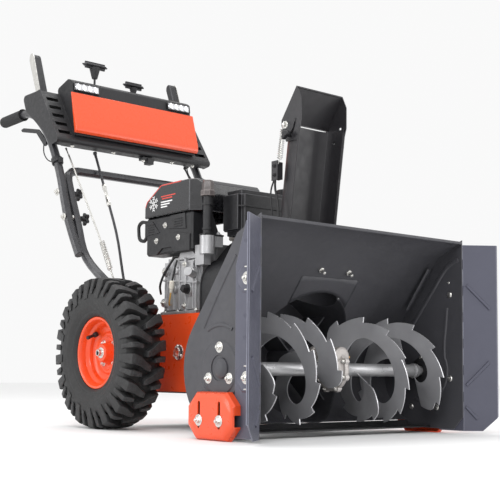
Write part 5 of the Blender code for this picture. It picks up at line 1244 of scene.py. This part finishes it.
def console_details():
    """Painted shade behind the louvres, reflector cells, lamp frames, switch and screws of the console."""
    bm = bmesh.new()
    # Black sheets behind the louvre slots are painted shade, standing in for the dark inside of the open
    # console.
    for sign in (-1, 1):
        low_x, high_x = sorted((sign * 0.2325, sign * 0.2895))
        corners = [face_point(0, *pair) for pair in ((0.020, 0.012), (0.212, 0.012), (0.212, 0.0136),
                                                     (0.020, 0.0136))]
        prism(bm, [(c.y, c.z) for c in corners], low_x, high_x)
    piece("louvre_painted_shade", bm, GRIP, "handlebar")
    normal = Vector((0, -0.990, 0.146))
    rise = Vector((0, 0.146, 0.990))
    bowls, cells, frames = bmesh.new(), bmesh.new(), bmesh.new()
    for side in (-1, 1):
        middle = at(side * 0.178, CONSOLE_Y + 0.0337, CONSOLE_Z + 0.1892)
        for index in range(4):
            spot = middle + Vector((0.0205 * (index - 1.5), 0, 0))
            solid(cells, [(0.0000, 0.0096), (0.0010, 0.0096), (0.0006, 0.0060), (0.0022, 0.0034)], spot,
                  normal, 12)
            lathe(bowls, [(0.0002, 0.0102), (0.0018, 0.0102), (0.0012, 0.0086), (0.0002, 0.0086)], spot,
                  normal, 24)
        across = Vector((0.0450, 0, 0))
        for sign in (-1, 1):
            rail = middle + rise * 0.0122 * sign
            sweep(frames, [rail - across, rail + across], circle(0.0022, 8), (0, 0, 1))
            end = middle + Vector((sign * 0.0445, 0, 0))
            sweep(frames, [end - rise * 0.0125, end + rise * 0.0125], circle(0.0022, 8), (1, 0, 0))
    piece("lamp_bowls", bowls, CELL, "handlebar")
    piece("lamp_cells", cells, LENS, "handlebar", 0.0002, 1)
    piece("lamp_frames", frames, GLOSS, "handlebar")
    bm = bmesh.new()
    block(bm, at(0.038, CONSOLE_Y + 0.004, 0.838), at(0.060, CONSOLE_Y + 0.030, 0.858))
    block(bm, at(0.020, CONSOLE_Y + 0.010, 0.850), at(0.066, CONSOLE_Y + 0.034, 0.8605))
    piece("light_switch", bm, PLASTIC, "handlebar", 0.0012, 2)
    bm = bmesh.new()
    hex_bolt(bm, at(0.024, CONSOLE_Y + 0.012, 0.850), (0, 0, -1), 0.0050, False)
    for x in (-0.230, -0.080, 0.150, 0.236):
        hex_bolt(bm, at(x, CONSOLE_Y + 0.030, 0.8625), (0, 0, -1), 0.0042)
    piece("console_screws", bm, ZINC, "handlebar", 0.0003, 1)


PADDLE_EDGE = [(0.004, 0.050), (0.030, 0.048), (0.0785, 0.160), (0.0780, 0.173), (0.0715, 0.1815),
               (0.0610, 0.1830),
               (0.0520, 0.1765), (0.0475, 0.166)]


def handle_details(side, sign):
    """Grip rings, paddle plate, knobs and bolts of one side of the handlebar."""
    low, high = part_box(f"grip_{side}")
    centre = (low + high) / 2
    bm = bmesh.new()
    for index in range(14):
        spot = Vector((centre.x, low.y + 0.014 + 0.009 * index, centre.z))
        lathe(bm, [(-0.0030, 0.0170), (-0.0016, 0.0186), (0.0016, 0.0186), (0.0030, 0.0170)], spot, (0, 1, 0),
              32)
    piece(f"grip_rings_{side}", bm, GRIP, "handlebar")
    lever = {"left": "drive_clutch", "right": "auger_clutch"}[side]
    pivot = Vector(JOINT[f"{lever}_press"]["pos_m"])
    bm = bmesh.new()
    outer = sign * 0.2812
    prism(bm, [(pivot.y + y, pivot.z + z) for y, z in PADDLE_EDGE], *sorted((outer, outer + sign * 0.0024)))
    piece(f"paddle_plate_{side}", bm, ZINC, f"{lever}_lever", 0.0006, 2)
    knobs, bolts, clamp = bmesh.new(), bmesh.new(), bmesh.new()
    for y, z in ((1.004, 0.625), (1.047, 0.707)):
        star_knob(knobs, at(sign * 0.2300, y, z), (-sign, 0, 0), 0.021, 5)
        hex_bolt(bolts, at(sign * 0.2888, y, z), (sign, 0, 0), 0.0068)
        lathe(clamp, [(-0.0026, 0.0085), (-0.0026, 0.0060), (0.0026, 0.0060), (0.0026, 0.0085)],
              at(sign * 0.2603, y, z),
              (1, 0, 0), 24)
    piece(f"fold_knobs_{side}", knobs, PLASTIC, "root", 0.0006, 1)
    piece(f"fold_bolts_{side}", bolts, ZINC, "handlebar", 0.0003, 1)
    piece(f"fold_washers_{side}", clamp, ZINC, "root")
    bm = bmesh.new()
    tube = Vector((0, 0.057, 0.105)).normalized()
    place = at(sign * 0.2755, 1.0765, 0.809)
    lathe(bm, [(-0.009, 0.0140), (-0.009, 0.0180), (0.009, 0.0180), (0.009, 0.0140)], place, tube, 28)
    block(bm, place + Vector((-0.006, -0.028, -0.008)), place + Vector((0.006, -0.014, 0.008)))
    wire(bm, [at(sign * 0.2790, 1.160, 0.876), at(sign * 0.2830, 1.150, 0.846),
              at(sign * 0.2860, 1.118, 0.818),
              place + Vector((0, 0.016, -0.002))], 0.0020, 6, 8)
    piece(f"cable_clamp_{side}", bm, PLASTIC, "handlebar", 0.0005, 1)


def rod_details():
    """Sleeve of the shift rod, spring of the clutch cable, and short ends under the console."""
    for name, radius, material, slot, line in (
            ("shift_rod_end", 0.0045, TUBES, "tube_paint", [(-0.140, 1.0716, 0.8385),
                                                            (-0.140, 1.0800, 0.8560)]),
            ("drive_cable_end", 0.0022, ZINC, "steel", [(-0.2337, 1.0832, 0.8380),
                                                        (-0.2355, 1.0960, 0.8590)]),
            ("auger_cable_end", 0.0030, GRIP, "rubber", [(0.2152, 1.0722, 0.8385),
                                                         (0.2160, 1.0860, 0.8560)])):
        bm = bmesh.new()
        ends = [at(*spot) for spot in line]
        wire(bm, ends, radius, 3, 12)
        solid(bm, [(0, radius * 1.5), (0.005, radius * 1.6), (0.009, radius * 1.1)], ends[1],
              ends[0] - ends[1], 6)
        piece(name, bm, material, "handlebar", 0.0002, 1)
    bm = bmesh.new()
    rod = Vector((0, 1.080, 0.856)), Vector((0, 0.934, 0.571))
    way = (rod[1] - rod[0]).normalized()
    spot = rod[0] + (rod[1] - rod[0]) * 0.52
    solid(bm, [(-0.040, 0.0060), (-0.036, 0.0078), (-0.026, 0.0078), (-0.024, 0.0062), (0.024, 0.0062),
               (0.026, 0.0078),
               (0.036, 0.0078), (0.040, 0.0060)], at(-0.140, spot.y, spot.z), way, 6)
    sweep(bm, coil(at(-0.2135, 0.904, 0.546), at(-0.2060, 0.866, 0.460), 0.0075, 16), circle(0.0013, 6))
    piece("rod_fittings", bm, ZINC, "root", 0.0)


shroud_details()
carburettor_details()
filler()
crankcase_details()
recoil_details()
tank_and_case()
console_details()
for side, sign in (("left", -1), ("right", 1)):
    handle_details(side, sign)
rod_details()

CASE = [("transmission_case", ORANGE, 0.004), ("transmission_floor", SCRAPER, 0.0008),
        ("friction_disc", ENGINE, 0.0008),
        ("friction_wheel", GRIP, 0.0008), ("drive_belt", GRIP, 0.0008), ("crankshaft_pulley", ZINC, 0.0008),
        ("flywheel_fan", ENGINE, 0.0008), ("crankcase", ENGINE, 0.002), ("cylinder_head", ENGINE, 0.002),
        ("recoil_starter_housing", PLASTIC, 0.0015), ("engine_shroud", GLOSS, 0.003),
        ("carburettor_cover", PLASTIC, 0.002),
        ("fuel_tank", PLASTIC, 0.002), ("fuel_cap", PLASTIC, 0.002), ("oil_filler_tube", PLASTIC, 0.001),
        ("starter_handle", GRIP, 0.001), ("muffler", HEATED, 0.002),
        ("belt_cover", PLASTIC, 0.003), ("lower_handle", TUBES, 0.0008), ("upper_handle_left", TUBES, 0.0008),
        ("upper_handle_right", TUBES, 0.0008), ("grip_left", GRIP, 0.001), ("grip_right", GRIP, 0.001),
        ("console_shell", PLASTIC, 0.0012), ("console_front_panel", PANEL, 0.0020),
        ("headlight_left", CELL, 0.0006),
        ("headlight_right", CELL, 0.0006), ("gear_lever", PLASTIC, 0.001),
        ("chute_control_lever", PLASTIC, 0.001),
        ("drive_clutch_lever", PLASTIC, 0.003), ("auger_clutch_lever", PLASTIC, 0.003),
        ("steering_trigger_left", PLASTIC, 0.001), ("steering_trigger_right", PLASTIC, 0.001),
        ("gear_shift_rod", TUBES, 0.0004), ("drive_clutch_cable", ZINC, 0.0004),
        ("auger_clutch_cable", GRIP, 0.0004)]
for node, finish_of, edge_width in CASE:
    polish(node, finish_of, edge_width)
